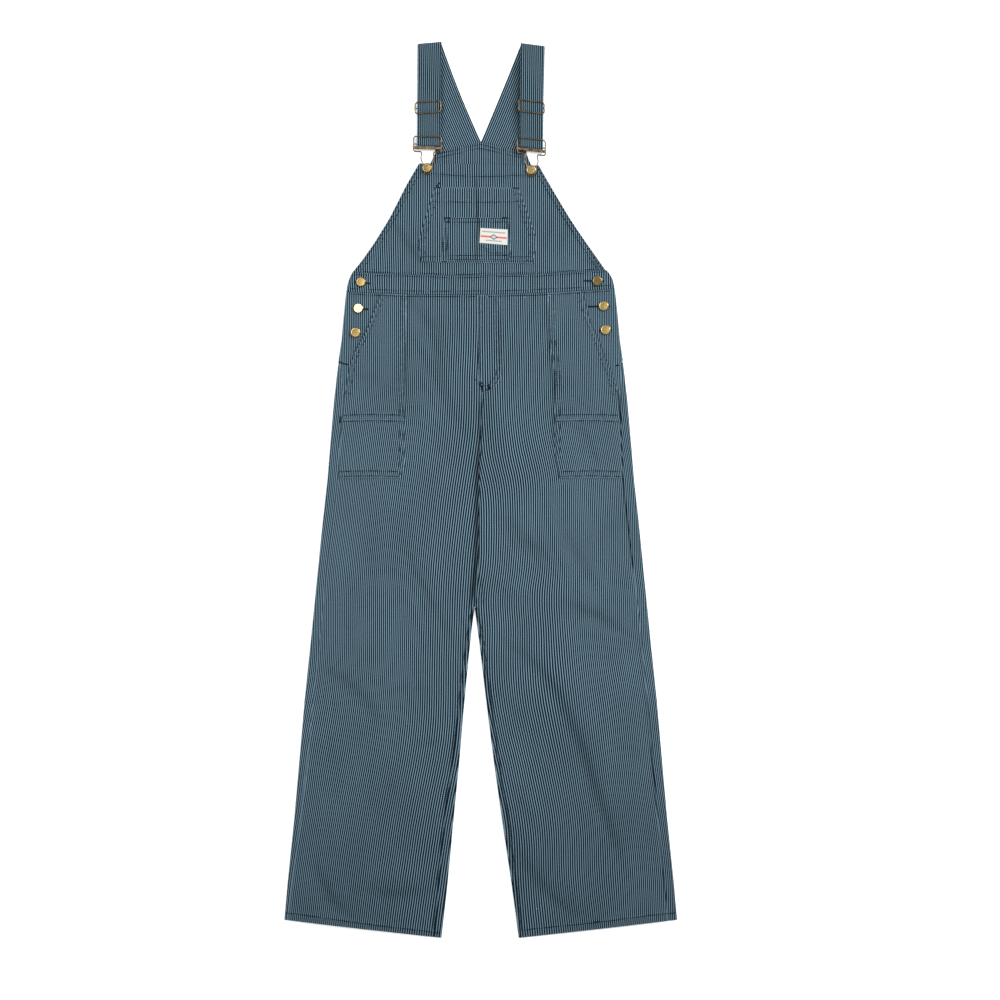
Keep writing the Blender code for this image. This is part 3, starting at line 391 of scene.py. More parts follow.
def pucker_near(group, x, h, reach=4.0):
    total = np.zeros(np.shape(x))
    for line in STITCHES[group]:
        xs = [p[0] for p in line]
        hs = [p[1] for p in line]
        close = (x > min(xs) - 12) & (x < max(xs) + 12) & (h > min(hs) - 12) & (h < max(hs) + 12)
        if close.any():
            off = from_line(x[close], h[close], line)[0]
            total[close] = np.maximum(total[close], np.exp(-(off / reach) ** 2))
    return total


# ---------------------------------------------------------------- surfaces
SIDE_GAP = 0.1
LEG_MIDDLE = (14.0, 985.0)      # first guess at a leg's rows: h of the foot, height
BIB_MIDDLE = (1029.0, 167.0)    # the same for the bib
BIB_HEIGHT = BIB_MIDDLE[1]
LABEL_LEFT = -1.4
LABEL_WIDTH = 43.0
BACK_WIDTH = 400.0              # of the waistbands and the back bib, to space their columns
CELL = 2.6                      # usual distance between points of a fine piece
LEG_CELL = 3.1
SEAM_REACH = 1.4                # how far from a seam its pale line, part wear and part painted highlight, and its line of painted shade go
DOME = 0.7                      # power that flattens the top of a panel's swell


class Leg:
    """The rows of one leg and the top of its front."""

    def __init__(self, side):
        self.side = side
        self.sign = SIDES[side]
        self.column = COLUMN[side]
        outer_end = WAIST_LOW[0] if side == "right" else WAIST_LOW[2]
        self.waist_outer = outer_end[1] - JOIN
        self.waist_inner = WAIST_LOW[1][1] - JOIN
        self.crotch = CROTCH / self.waist_inner
        self.opening = (OPENING - HEM_OUTER) / ((WAIST_LOW[0][1] + WAIST_LOW[2][1]) / 2 - HEM_OUTER)

    def rows(self, step):
        total = self.waist_inner
        rows = [0.0, 0.35, 0.9, 1.8]
        rows += list(np.arange(4.2, total - 2.5, step))
        rows += [total - 1.8, total - 0.9, total - 0.35, total]
        rows = np.array(rows) / total
        for fixed in (self.crotch, self.opening):
            rows[np.abs(rows - fixed).argmin()] = fixed
        return rows

    def ends(self, v):
        h_out = HEM_OUTER + (self.waist_outer - HEM_OUTER) * v
        h_in = self.waist_inner * v
        x_out = self.sign * read(OUTER, h_out)
        below = read(INNER, h_in, self.column)
        x_in = np.where(v <= self.crotch + 1e-9, below, read(CENTRE, h_in)) + self.sign * JOIN
        return x_out, h_out, x_in, h_in

    def height(self, v, x):
        x_out, h_out, x_in, h_in = self.ends(v)
        share = (x - x_out) / (x_in - x_out)
        straight = h_out + (h_in - h_out) * share
        bend = waist_seam(WAIST_LOW, x) - JOIN
        chord = self.waist_outer + (self.waist_inner - self.waist_outer) * share
        return straight + (bend - chord) * smooth(self.opening, 1.0, v)

    def side_roll(self, v):
        return read(SIDE_ROLL, self.ends(v)[1], self.column)

    def inseam_roll(self, v):
        return read(INSEAM_ROLL[self.side], self.ends(v)[3])

    def front_ends(self, v):
        x_out, _, x_in, _ = self.ends(v)
        closed = v <= self.opening + 1e-9
        x_out = x_out - np.where(closed, self.sign * (self.side_roll(v) + SIDE_GAP), 0.0)
        lower = v <= self.crotch + 1e-9
        x_in = x_in + np.where(lower, self.sign * (self.inseam_roll(v) + SEAM_GAP), 0.0)
        return x_out, x_in

    def locate(self, x, h):
        foot, tall = LEG_MIDDLE
        v = (h - foot) / tall
        for _ in range(8):
            v = v + (h - self.height(v, x)) / tall
        x_out, x_in = self.front_ends(v)
        return (x - x_out) / (x_in - x_out), v

    def lift(self, u, x, h):
        u = np.clip(u, 0.0, 1.0)
        level = smooth(*SEAM_VALLEY, h)
        closed = np.maximum(np.sin(math.pi * u), 0.0) ** DOME
        opened = np.sin(math.pi * u / 2) ** DOME
        edge = smooth(0.0, 0.12, u) * smooth(0.0, 0.12, 1 - u)
        near = smooth(0.0, 0.05, u) * smooth(0.0, 0.05, 1 - u)
        rise = read(PUFF, h) * (closed * (1 - level) + opened * level)
        rise = rise + edge * fold_rise(FOLDS, x, h) + near * fold_rise(CREASES, x, h)
        rise = rise + near * (0.34 * ripple(x / 41, h / 87, 3) + 0.16 * ripple(x / 17, h / 33, 4))
        return np.maximum(rise, -0.3)

    def surface(self, x, h):
        """Height of the front's upper side."""
        u, _ = self.locate(x, h)
        return LEG_LOW + CLOTH + self.lift(u, x, h) + self.tremble(x, h)

    def tremble(self, x, h):
        pull = pucker_near("legs", x, h)
        return 0.22 * pull * ripple(x / 4.5, h / 4.5, 7)

    def phase(self, x, h, shift=0.0):
        """Stripe count at a point: even across the front, leaning as the cloth hangs."""
        heights = np.arange(0.0, 1101.0, 10.0)
        slopes = read(LEAN[self.side], heights)
        travel = np.concatenate([np.cumsum(slopes[::-1] * 10.0)[::-1], [0.0]])[:len(heights)]
        out = self.sign * (x - self.sign * np.interp(h, heights, travel)) + 4.0 * self.sign
        growth = STRIPE_GROWTH * (0.8 + 0.2 * smooth(60, 500, h))
        bent = np.maximum(out, 0.0)
        bend = 0.35 * ripple(x / 70, h / 110, 11) + 0.10 * ripple(x / 20, h / 45, 12)
        for at_x, at_h, wide, tall, change in PULLS:
            if at_x * self.sign > 0:
                bend = bend + self.sign * change * 0.886 * wide * np.tanh(1.2 * (x - at_x) / wide) * np.exp(
                    -((h - at_h) / tall) ** 2)
        return self.sign * (STRIPE * out + growth * bent ** 2 / 2 + bend) + shift


class Bib:
    """The front bib: rows from the waist to the top hem."""

    def sides(self, t):
        h_right = WAIST_HIGH[0][1] + (BIB_TOP[0] - WAIST_HIGH[0][1]) * t
        h_left = WAIST_HIGH[2][1] + (BIB_TOP[1] - WAIST_HIGH[2][1]) * t
        return read(BIB_SIDES, h_right, 1), h_right, read(BIB_SIDES, h_left, 2), h_left

    def height(self, t, x):
        x_right, h_right, x_left, h_left = self.sides(t)
        u = (x - x_right) / (x_left - x_right)
        chord = WAIST_HIGH[0][1] + (WAIST_HIGH[2][1] - WAIST_HIGH[0][1]) * u
        sag = waist_seam(WAIST_HIGH, x) + JOIN - chord
        return h_right + (h_left - h_right) * u + sag * (1 - t)

    def locate(self, x, h):
        foot, tall = BIB_MIDDLE
        t = (h - foot) / tall
        for _ in range(8):
            t = t + (h - self.height(t, x)) / tall
        x_right, _, x_left, _ = self.sides(t)
        return (x - x_right) / (x_left - x_right), t

    def surface(self, x, h):
        u, t = self.locate(x, h)
        x_right, _, x_left, _ = self.sides(t)
        lift = (BIB_PUFF[0] + (BIB_PUFF[1] - BIB_PUFF[0]) * t) * np.sin(math.pi * np.clip(u, 0, 1)) ** DOME
        from_side = np.minimum(x - x_right, x_left - x)
        from_top = (1 - t) * BIB_HEIGHT
        hemmed = np.maximum(1 - smooth(BIB_SIDE_HEM - 0.8, BIB_SIDE_HEM + 0.8, from_side),
                            1 - smooth(BIB_HEM - 0.8, BIB_HEM + 0.8, from_top))
        near = smooth(0.0, 0.06, u) * smooth(0.0, 0.06, 1 - u)
        rise = near * (fold_rise(BIB_CREASES, x, h) + 0.25 * ripple(x / 37, h / 41, 5)
                       + 0.12 * ripple(x / 14, h / 19, 6))
        pull = pucker_near("bib", x, h)
        rise = rise + 0.2 * pull * ripple(x / 4.5, h / 4.5, 8)
        return BIB_LOW + CLOTH + lift + rise + (BAND - CLOTH) * hemmed

    @staticmethod
    def phase(x, h, shift=0.0):
        out = x + 4.3
        bend = 0.25 * ripple(x / 50, h / 60, 13)
        growth = np.where(out > 0, BIB_STRIPE_GROWTH, 0.2 * BIB_STRIPE_GROWTH)
        return BIB_STRIPE * out + np.sign(out) * growth * out ** 2 / 2 + bend + shift


class Band:
    """The front waistband."""

    @staticmethod
    def surface(x, h):
        low = waist_seam(WAIST_LOW, x)
        high = waist_seam(WAIST_HIGH, x)
        share = np.clip((h - low) / (high - low), 0, 1)
        right = read(WAIST_SIDES, share, 1)
        left = read(WAIST_SIDES, share, 2)
        u = np.clip((x - right) / (left - right), 0, 1)
        wave = 0.2 * ripple(x / 23, h / 15, 9)
        wave = wave + 0.2 * pucker_near("band", x, h) * ripple(x / 4.5, h / 4.5, 10)
        return BIB_LOW + BAND + BIB_PUFF[0] * np.sin(math.pi * u) ** DOME + wave


def new_piece(name, points, faces, material, nodes=(), uv=None, values=None, angle=40):
    mesh = bpy.data.meshes.new(name)
    mesh.from_pydata(np.asarray(points).tolist(), [], [list(f) for f in np.asarray(faces).tolist()]
                     if isinstance(faces, np.ndarray) else faces)
    corner = np.zeros(len(mesh.loops), np.int32)
    mesh.loops.foreach_get("vertex_index", corner)
    if uv is not None:
        layer = mesh.uv_layers.new(name="cloth")
        layer.data.foreach_set("uv", np.asarray(uv, np.float32)[corner].ravel())
    for key, numbers in (values or {}).items():
        attribute = mesh.attributes.new(key, "FLOAT", "POINT")
        attribute.data.foreach_set("value", np.asarray(numbers, np.float32))
    mesh.polygons.foreach_set("use_smooth", np.ones(len(mesh.polygons), bool))
    mesh.set_sharp_from_angle(angle=math.radians(angle))
    mesh.materials.append(material)
    piece = bpy.data.objects.new(name, mesh)
    bpy.context.scene.collection.objects.link(piece)
    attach(piece, "root")
    if nodes:
        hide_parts(*nodes)
    return piece


def shell(name, node, top, low, phase, along, values, present=None, slot="striped_cloth"):
    """A closed cloth wall between two grids of points in metres."""
    rows, columns = top.shape[:2]
    count = rows * columns
    index = np.arange(count).reshape(rows, columns)
    if present is None:
        present = np.ones((rows - 1, columns - 1), bool)
    quads = np.stack([index[:-1, :-1], index[:-1, 1:], index[1:, 1:], index[1:, :-1]], -1)[present]
    edges = np.concatenate([quads[:, [k, (k + 1) % 4]] for k in range(4)])
    forward = edges[:, 0] * count + edges[:, 1]
    backward = edges[:, 1] * count + edges[:, 0]
    rim = edges[~np.isin(forward, backward)]
    walls = np.stack([rim[:, 1], rim[:, 0], rim[:, 0] + count, rim[:, 1] + count], -1)
    faces = np.concatenate([quads, quads[:, ::-1] + count, walls])
    points = np.concatenate([top.reshape(-1, 3), low.reshape(-1, 3)])
    a, b, c, d = (points[faces[:, k]] for k in range(4))
    volume = (a * np.cross(b, c)).sum() + (a * np.cross(c, d)).sum()
    if volume < 0:
        faces = faces[:, ::-1]
    used, faces = np.unique(faces, return_inverse=True)
    faces = faces.reshape(-1, 4)
    uv = np.stack([phase.ravel(), along.ravel() * 0.01], -1)
    uv = np.concatenate([uv, uv])[used]
    kept = {}
    for key, numbers in values.items():
        kept[key] = np.concatenate([numbers.ravel(), numbers.ravel()])[used]
    return new_piece(name, points[used], faces, LOOKS[slot], [node], uv, kept)


def steps(width, cell, ends=(0.0, 0.35, 0.9, 1.8)):
    """Shares from 0 to 1 across a width, close together at both ends."""
    inner = max(int((width - 2 * ends[-1]) / cell), 2)
    middle = np.linspace(ends[-1], width - ends[-1], inner + 1)
    return np.concatenate([ends[:-1], middle, [width - e for e in reversed(ends[:-1])]]) / width


def rounding(distance, radius=0.6):
    """How far a cloth edge falls away at a distance from it."""
    near = np.clip(radius - distance, 0.0, radius)
    return radius - np.sqrt(np.maximum(radius ** 2 - near ** 2, 0.0))


def tone_of(h, x, group=None):
    """Brightness of the cloth: darker towards the hems, with painted shade in the creases, in the valley
    between the legs and along narrow lines.
    """
    base = read(((0, 0.748), (150, 0.80), (320, 0.908), (480, 0.985), (700, 1.0), (1400, 1.0)), h)
    base = base * (1 + 0.02 * ripple(x / 55, h / 75, 21) + 0.03 * ripple(x / 9, h / 60, 22))
    if group == "legs":
        # painted shade in the troughs of the creases and folds
        painted_crease_shade = 0.11 * cavity(CREASES, x, h, 1.15) + 0.035 * cavity(FOLDS, x, h, 0.6)
        base = base * np.clip(1 - painted_crease_shade, 0.55, 1)
        # painted shade along the valley where the two legs meet
        off = from_line(x, h, VALLEY)[0]
        reach = 2.4 + 1.2 * smooth(770, 725, h) + 0.5 * smooth(700, 640, h)
        shade_depth = (0.55 + 0.25 * smooth(770, 725, h)) * smooth(842, 815, h) * smooth(506, 540, h)
        base = base * (1 - shade_depth * np.exp(-(off / reach) ** 2))
        # painted shade along the narrow lines beside the hip patches, at the crotch and along the left side
        # seam
        for shade_depth, width, line in PAINTED_SHADE_LINES:
            off, _, run = from_line(x, h, line)
            fade = smooth(0.0, 0.03, run) * smooth(1.0, 0.85, run)
            base = base * (1 - shade_depth * fade * np.exp(-(off / width) ** 2))
    if group == "bib":
        # painted shade in the bib's creases, darker still along its middle crease
        base = base * np.clip(1 - 0.24 * cavity(BIB_CREASES[:-1], x, h, 1.2), 0.6, 1)
        base = base * (1 - 0.62 * np.minimum(cavity(BIB_CREASES[-1:], x, h, 1.0), 1.3))
    return base


def with_crease(shares, step):
    """Shares with more of them at the bib's middle crease."""
    middle = 0.4975 + step * np.arange(-3, 4)
    kept = shares[(shares < middle[0] - step) | (shares > middle[-1] + step)]
    return np.sort(np.concatenate([kept, middle]))


def sewn(name, node, edges, panel, lift, phase, group, cell=CELL, top_edge=None,
         slot="striped_cloth"):
    """A piece on a panel between two long edges, foot to top."""
    first, second = (np.array(e, float) for e in edges)
    height = max(first[-1, 1] - first[0, 1], second[-1, 1] - second[0, 1])
    width = np.abs(first[:, 0].mean() - second[:, 0].mean())
    share = steps(height, cell)

    def spots_of(edge):
        t = (edge[:, 1] - edge[0, 1]) / (edge[-1, 1] - edge[0, 1])
        return np.interp(share, t, edge[:, 0]), np.interp(share, t, edge[:, 1])

    ax, ah = spots_of(first)
    bx, bh = spots_of(second)
    across = steps(width, cell)
    if group == "bib" and width > 60:
        across = with_crease(across, 1.3 / width)
    x = ax[:, None] + (bx - ax)[:, None] * across
    h = ah[:, None] + (bh - ah)[:, None] * across
    if top_edge is not None:
        limit = top_edge(x)
        foot = h[0][None, :]
        reach = np.minimum(h[-1][None, :], limit) - foot
        h = foot + (h - foot) / (h[-1][None, :] - foot) * reach
    span = np.abs(bx - ax)[:, None]
    tall = (h[-1] - h[0])[None, :]
    side = np.minimum(across[None, :] * span, (1 - across)[None, :] * span)
    end = np.minimum(share[:, None] * tall, (1 - share)[:, None] * tall)
    border = np.minimum(side, end)
    base = panel(x, h)
    puff = 0.35 * smooth(0.0, 14.0, border)
    top = base + lift + PATCH + puff - rounding(border)
    low = base + lift
    pucker = pucker_near(group, x, h)
    # edges painted paler: part wear, part painted highlight where the folded edge catches the light
    rubbed_and_lit = 0.28 * (1 - smooth(0.6, 2.2, border))
    values = {"tone": tone_of(h, x, group), "pucker": pucker, "wear_and_painted_light": rubbed_and_lit}
    return shell(name, node, place(x, h, top), place(x, h, low), phase(x, h), h, values, slot=slot)


# ---------------------------------------------------------------- materials
class Finish:
    """A Principled material and short ways to add nodes to it."""

    def __init__(self, name, roughness, metallic=0.0):
        self.material = bpy.data.materials.new(name)
        self.material.use_nodes = True
        self.tree = self.material.node_tree
        self.shader = self.tree.nodes["Principled BSDF"]
        self.shader.inputs["Roughness"].default_value = roughness
        self.shader.inputs["Metallic"].default_value = metallic

    def put(self, socket, value):
        if isinstance(value, bpy.types.NodeSocket):
            self.tree.links.new(value, socket)
        else:
            socket.default_value = value

    def node(self, kind, inputs=(), **settings):
        node = self.tree.nodes.new(kind)
        for key, value in settings.items():
            setattr(node, key, value)
        for key, value in dict(inputs).items():
            self.put(node.inputs[key], value)
        return node

    def maths(self, operation, *values):
        node = self.node("ShaderNodeMath", operation=operation)
        for k, value in enumerate(values):
            self.put(node.inputs[k], value)
        return node.outputs[0]

    def mix(self, factor, first, second, blend="MIX"):
        node = self.node("ShaderNodeMix", data_type="RGBA", blend_type=blend)
        self.put(node.inputs[0], factor)
        self.put(node.inputs[6], first)
        self.put(node.inputs[7], second)
        return node.outputs[2]

    def noise(self, vector, scale, detail=2.0, roughness=0.5):
        node = self.node("ShaderNodeTexNoise", {"Vector": vector, "Scale": scale, "Detail": detail,
                                                "Roughness": roughness})
        return node.outputs[0]

    def step(self, value, low, high, low_out=0.0, high_out=1.0):
        node = self.node("ShaderNodeMapRange", interpolation_type="SMOOTHSTEP")
        for k, number in enumerate((value, low, high, low_out, high_out)):
            self.put(node.inputs[k], number)
        return node.outputs[0]

    def here(self):
        return self.node("ShaderNodeTexCoord").outputs["Object"]

    def cloth_place(self):
        mapped = self.node("ShaderNodeUVMap", uv_map="cloth").outputs[0]
        split = self.node("ShaderNodeSeparateXYZ", {0: mapped})
        return split.outputs[0], self.maths("MULTIPLY", split.outputs[1], 100.0)

    def value(self, name):
        return self.node("ShaderNodeAttribute", attribute_name=name).outputs["Fac"]

    def grey(self, value):
        return self.node("ShaderNodeCombineColor", {0: value, 1: value, 2: value}).outputs[0]

    def bump(self, height, distance=1.0):
        node = self.node("ShaderNodeBump", {"Height": height, "Distance": distance, "Strength": 1.0})
        self.put(self.shader.inputs["Normal"], node.outputs[0])


NAVY = (0.0010, 0.0070, 0.0155, 1)
PALE_BLUE = (0.153, 0.244, 0.298, 1)


def striped_cloth():
    """Yarn-dyed stripes: navy and pale blue, slubby, washed; painted shade and highlights come in through the
    cloth's attributes.
    """
    f = Finish("striped_cloth_look", 0.86)
    phase, along = f.cloth_place()
    here = f.here()
    wobble = f.maths("SUBTRACT", f.noise(here, 55.0), 0.5)
    count = f.maths("MULTIPLY_ADD", wobble, 0.22, phase)
    wave = f.maths("COSINE", f.maths("MULTIPLY", count, 2 * math.pi))
    stripe = f.step(wave, 0.22, 0.78)
    # paler stripes where the wear attribute is set: part wear, part painted highlight on the edges and seams
    rubbed_and_lit = f.maths("MULTIPLY", f.value("wear_and_painted_light"), f.step(f.noise(here, 260.0), 0.25, 0.6, 0.6, 1.0))
    stripe = f.maths("MAXIMUM", stripe, rubbed_and_lit)
    yarn_place = f.node("ShaderNodeCombineXYZ", {0: f.maths("MULTIPLY", phase, 9.0),
                                                 1: f.maths("MULTIPLY", along, 0.55)}).outputs[0]
    yarn = f.noise(yarn_place, 1.0, 3.0, 0.6)
    weft = f.node("ShaderNodeCombineXYZ", {0: f.maths("MULTIPLY", phase, 1.2),
                                           1: f.maths("MULTIPLY", along, 2.6)}).outputs[0]
    pick = f.noise(weft, 1.0, 2.0, 0.6)
    body = f.mix(stripe, NAVY, PALE_BLUE)
    shade = f.maths("MULTIPLY", f.step(yarn, 0.2, 0.8, 0.76, 1.24), f.step(pick, 0.2, 0.8, 0.80, 1.20))
    # the tone attribute brings painted shade in creases, seams and the valley, darker hems and shifts of tone
    # at random
    shade = f.maths("MULTIPLY", shade, f.value("tone"))
    shade = f.maths("MULTIPLY", shade, f.step(f.noise(here, 9.0, 4.0), 0.3, 0.7, 0.95, 1.05))
    # noise for the cloth beside the stitches, lighter and darker in turn: part roping wear, part painted
    # pucker shade
    rope_and_shade = f.noise(here, 230.0, 2.0)
    pull = f.value("pucker")
    wear_and_painted_light = f.maths("MULTIPLY_ADD", f.maths("MULTIPLY", f.maths("SUBTRACT", rope_and_shade, 0.52), pull), 1.1, 1.0)
    shade = f.maths("MULTIPLY", shade, wear_and_painted_light)
    f.put(f.shader.inputs["Base Color"], f.mix(1.0, body, f.grey(shade), "MULTIPLY"))
    f.shader.inputs["Specular IOR Level"].default_value = 0.08
    f.shader.inputs["Sheen Weight"].default_value = 0.05
    f.shader.inputs["Sheen Roughness"].default_value = 0.5
    f.shader.inputs["Sheen Tint"].default_value = (0.6, 0.82, 1.0, 1)
    height = f.maths("MULTIPLY", yarn, 0.00016)
    height = f.maths("MULTIPLY_ADD", stripe, 0.00005, height)
    height = f.maths("MULTIPLY_ADD", f.maths("MULTIPLY", rope_and_shade, pull), 0.0011, height)
    height = f.maths("MULTIPLY_ADD", f.noise(here, 1600.0, 1.0), 0.00009, height)
    f.bump(height)
    return f.material


def thread_finish(name, colour):
    f = Finish(name, 0.8)
    f.shader.inputs["Specular IOR Level"].default_value = 0.12
    here = f.here()
    twist = f.noise(here, 2200.0, 1.0)
    f.put(f.shader.inputs["Base Color"], f.mix(twist, tuple(0.6 * c for c in colour[:3]) + (1,), colour))
    f.bump(twist, 0.0001)
    return f.material


def metal_finish(name, dark, light, roughness, scale, spread_of_gloss):
    f = Finish(name, roughness, 1.0)
    here = f.here()
    cloud = f.noise(here, scale, 4.0, 0.6)
    colour = f.mix(f.step(cloud, 0.35, 0.65), dark, light)
    # the tone attribute scales the colour: painted highlight and shade on the buttons, 1 on the other metal
    f.put(f.shader.inputs["Base Color"], f.mix(1.0, colour, f.grey(f.value("tone")), "MULTIPLY"))
    f.put(f.shader.inputs["Roughness"], f.step(f.noise(here, scale * 2.1, 3.0), 0.3, 0.7,
                                               roughness - spread_of_gloss, roughness + spread_of_gloss))
    f.bump(f.noise(here, 300.0, 1.0), 0.00002)
    return f.material


def label_finish():
    """White woven cloth with a plain red rule, a lozenge and two grey rules."""
    f = Finish("label_look", 0.8)
    across, along = f.cloth_place()
    up = f.maths("DIVIDE", f.maths("SUBTRACT", f.maths("MULTIPLY_ADD", across, 3.6, along), 1075.9), 23.8)

    def band(centre, half):
        off = f.maths("ABSOLUTE", f.maths("SUBTRACT", up, centre))
        return f.step(off, half, half * 0.7)

    beside = f.maths("ABSOLUTE", f.maths("SUBTRACT", across, 0.5))
    red = band(0.452, 0.07)
    inside = f.step(beside, 0.475, 0.465)
    colour = f.mix(f.maths("MULTIPLY", red, inside), (0.545, 0.537, 0.50, 1), (0.56, 0.10, 0.086, 1))
    for centre, half, reach in ((0.77, 0.05, 0.42), (0.21, 0.042, 0.30)):
        rule = f.maths("MULTIPLY", band(centre, half), f.step(beside, reach, reach - 0.01))
        colour = f.mix(f.maths("MULTIPLY", rule, 0.72), colour, (0.14, 0.17, 0.20, 1))
    slant = f.maths("MULTIPLY", f.maths("ABSOLUTE", f.maths("SUBTRACT", up, 0.455)), 0.62)
    far = f.maths("ADD", f.maths("MULTIPLY", beside, 0.8), slant)
    colour = f.mix(f.step(far, 0.125, 0.115), colour, (0.06, 0.085, 0.11, 1))
    colour = f.mix(f.step(far, 0.082, 0.074), colour, (0.42, 0.43, 0.40, 1))
    weave = f.noise(f.here(), 1300.0, 2.0)
    colour = f.mix(1.0, colour, f.grey(f.step(weave, 0.3, 0.7, 0.93, 1.03)), "MULTIPLY")
    f.put(f.shader.inputs["Base Color"], colour)
    f.bump(weave, 0.00012)
    return f.material


CLOTH_LOOK = striped_cloth()
THREAD = thread_finish("thread_look", (0.009, 0.016, 0.025, 1))
PALE_THREAD = thread_finish("pale_thread_look", (0.55, 0.58, 0.58, 1))
BROWN_THREAD = thread_finish("brown_thread_look", (0.30, 0.17, 0.085, 1))
BRASS = metal_finish("brass_look", (0.665, 0.47, 0.188, 1), (0.715, 0.508, 0.21, 1), 0.28, 60.0, 0.03)
ANTIQUE = metal_finish("antique_brass_look", (0.09, 0.058, 0.031, 1), (0.22, 0.150, 0.084, 1),
                       0.37, 130.0, 0.085)
LABEL_LOOK = label_finish()
LOOKS = {"striped_cloth": CLOTH_LOOK, "label_cloth": LABEL_LOOK}


# ---------------------------------------------------------------- stitch lines
LEGS = {side: Leg(side) for side in SIDES}
BIB = Bib()
SEWING = []      # mesh name, line of (x, h), surface, rise, kind


def sew(name, group, line, surface, rise=0.1, kind="line", offset=0.0):
    """A line of stitches on a surface; the cloth of its group puckers beside it, if it has one."""
    points = np.array(line, float)
    if offset:
        tangent = np.gradient(points, axis=0)
        tangent /= np.linalg.norm(tangent, axis=1)[:, None]
        points = points + np.stack([-tangent[:, 1], tangent[:, 0]], -1) * offset
    if group:
        STITCHES[group].append([tuple(p) for p in points])
    SEWING.append((name, points, surface, rise, kind))


def leg_top(leg):
    def surface(x, h):
        u, _ = leg.locate(x, h)
        front = leg.surface(x, h)
        return np.where((u < 0) | (u > 1), 2 * ROLL_RADIUS, front)
    return surface


LEG_TOP = {side: leg_top(LEGS[side]) for side in SIDES}
ON_PATCH = SEAM_GAP + PATCH + 0.1


def patch_rise(inset):
    """Height of a sewn piece's top over its panel, at a distance from its edge."""
    return ON_PATCH + 0.35 * float(smooth(0.0, 14.0, inset))


def edge_run(edge, low, high, count=14):
    """Points of a long edge between two heights."""
    hs = np.linspace(low, high, count)
    xs = np.interp(hs, [p[1] for p in edge], [p[0] for p in edge])
    return np.stack([xs, hs], -1)


def legs_sewing():
    for side, sign in SIDES.items():
        leg = LEGS[side]
        top = LEG_TOP[side]
        name = "stitches_leg_" + side
        # hem
        x_out, _, x_in, _ = leg.ends(np.array([0.0]))
        share = np.linspace(0.006, 0.99, 40)
        x = x_out[0] + (x_in[0] - x_out[0]) * share
        drop = {"right": 4.6, "left": 0.4}[side]
        h = leg.height(np.zeros(40), x) + 11.4 - drop * share + 0.5 * np.sin(share * 9)
        sew(name, "legs", np.stack([x, h], -1), top, 0.95, "seam")
        # inseam lap: a felled seam, sewn once
        v = np.linspace(0.012, leg.crotch - 0.01, 30)
        x_inner = leg.front_ends(v)[1]
        x_lap = x_inner + sign * 2.2
        sew(name, "legs", np.stack([x_lap, leg.height(v, x_lap)], -1), top, 0.15)
        # hip patches
        inner, outer = HIP_PATCH[side]
        slant = edge_run(outer, 842.0, 1000.0)
        for step in (1.8, 8.2):
            sew(name, "legs", slant, top, patch_rise(step), "fine", sign * step)
        edge = edge_run(inner, 806.0, 993.0)
        for step in (1.7, 7.6):
            sew(name, "legs", edge, top, patch_rise(step), offset=-sign * step)
        rows = ((809.2, 0), (799.6, 1), (722.0, 1), (714.2, 1))
        low_inner, low_outer = HIP_PATCH_LOW[side]
        for k, (height, low) in enumerate(rows):
            a, b = (low_inner, low_outer) if low else (inner, outer)
            xa = np.interp(height, [p[1] for p in a], [p[0] for p in a])
            xb = np.interp(height, [p[1] for p in b], [p[0] for p in b])
            inset = 2.0 if k != 2 else 7.5
            xs = np.linspace(xa + sign * inset, xb - sign * 2.0, 20)
            sag = 1.2 * np.sin(np.linspace(0, math.pi, 20))
            rise = patch_rise((6.0, 5.0, 10.5, 3.0)[k])
            sew(name, "legs", np.stack([xs, height + sag], -1), top, rise, "seam")
        low_edge = edge_run(low_inner, low_inner[0][1] + 2.0, 801.0)
        for step, start in ((1.7, 0), (7.4, 2)):
            sew(name, "legs", low_edge[start:], top, patch_rise(step), offset=-sign * step)
    # the fly's two curved rows, its edge and the crotch seam
    name = "stitches_leg_left"
    top = LEG_TOP["left"]
    sew(name, "legs", ((29.1, 993.5), (30.2, 936), (31.0, 900), (31.6, 881), (29.6, 867), (23.0, 854.6),
                       (13.6, 847.2), (4.0, 844.4)), top, patch_rise(1.6), "seam", -1.6)
    sew(name, "legs", ((24.0, 993.5), (25.2, 936), (26.2, 900), (26.4, 884), (24.6, 871.5), (19.0, 861.0),
                       (11.5, 854.5), (3.0, 851.8)), top, patch_rise(7.0), "seam", -1.2)
    sew(name, "legs", ((-2.0, 993), (-1.6, 940), (-1.2, 876)), top, ON_PATCH)
    right = LEG_TOP["right"]
    sew("stitches_leg_right", "legs", ((-11.1, 867.4), (-7.0, 863.0), (-3.6, 859.4)), right, 0.15)
    sew(name, "legs", ((3.6, 842), (2.4, 815), (1.6, 786), (0.6, 748)), top, 0.12)


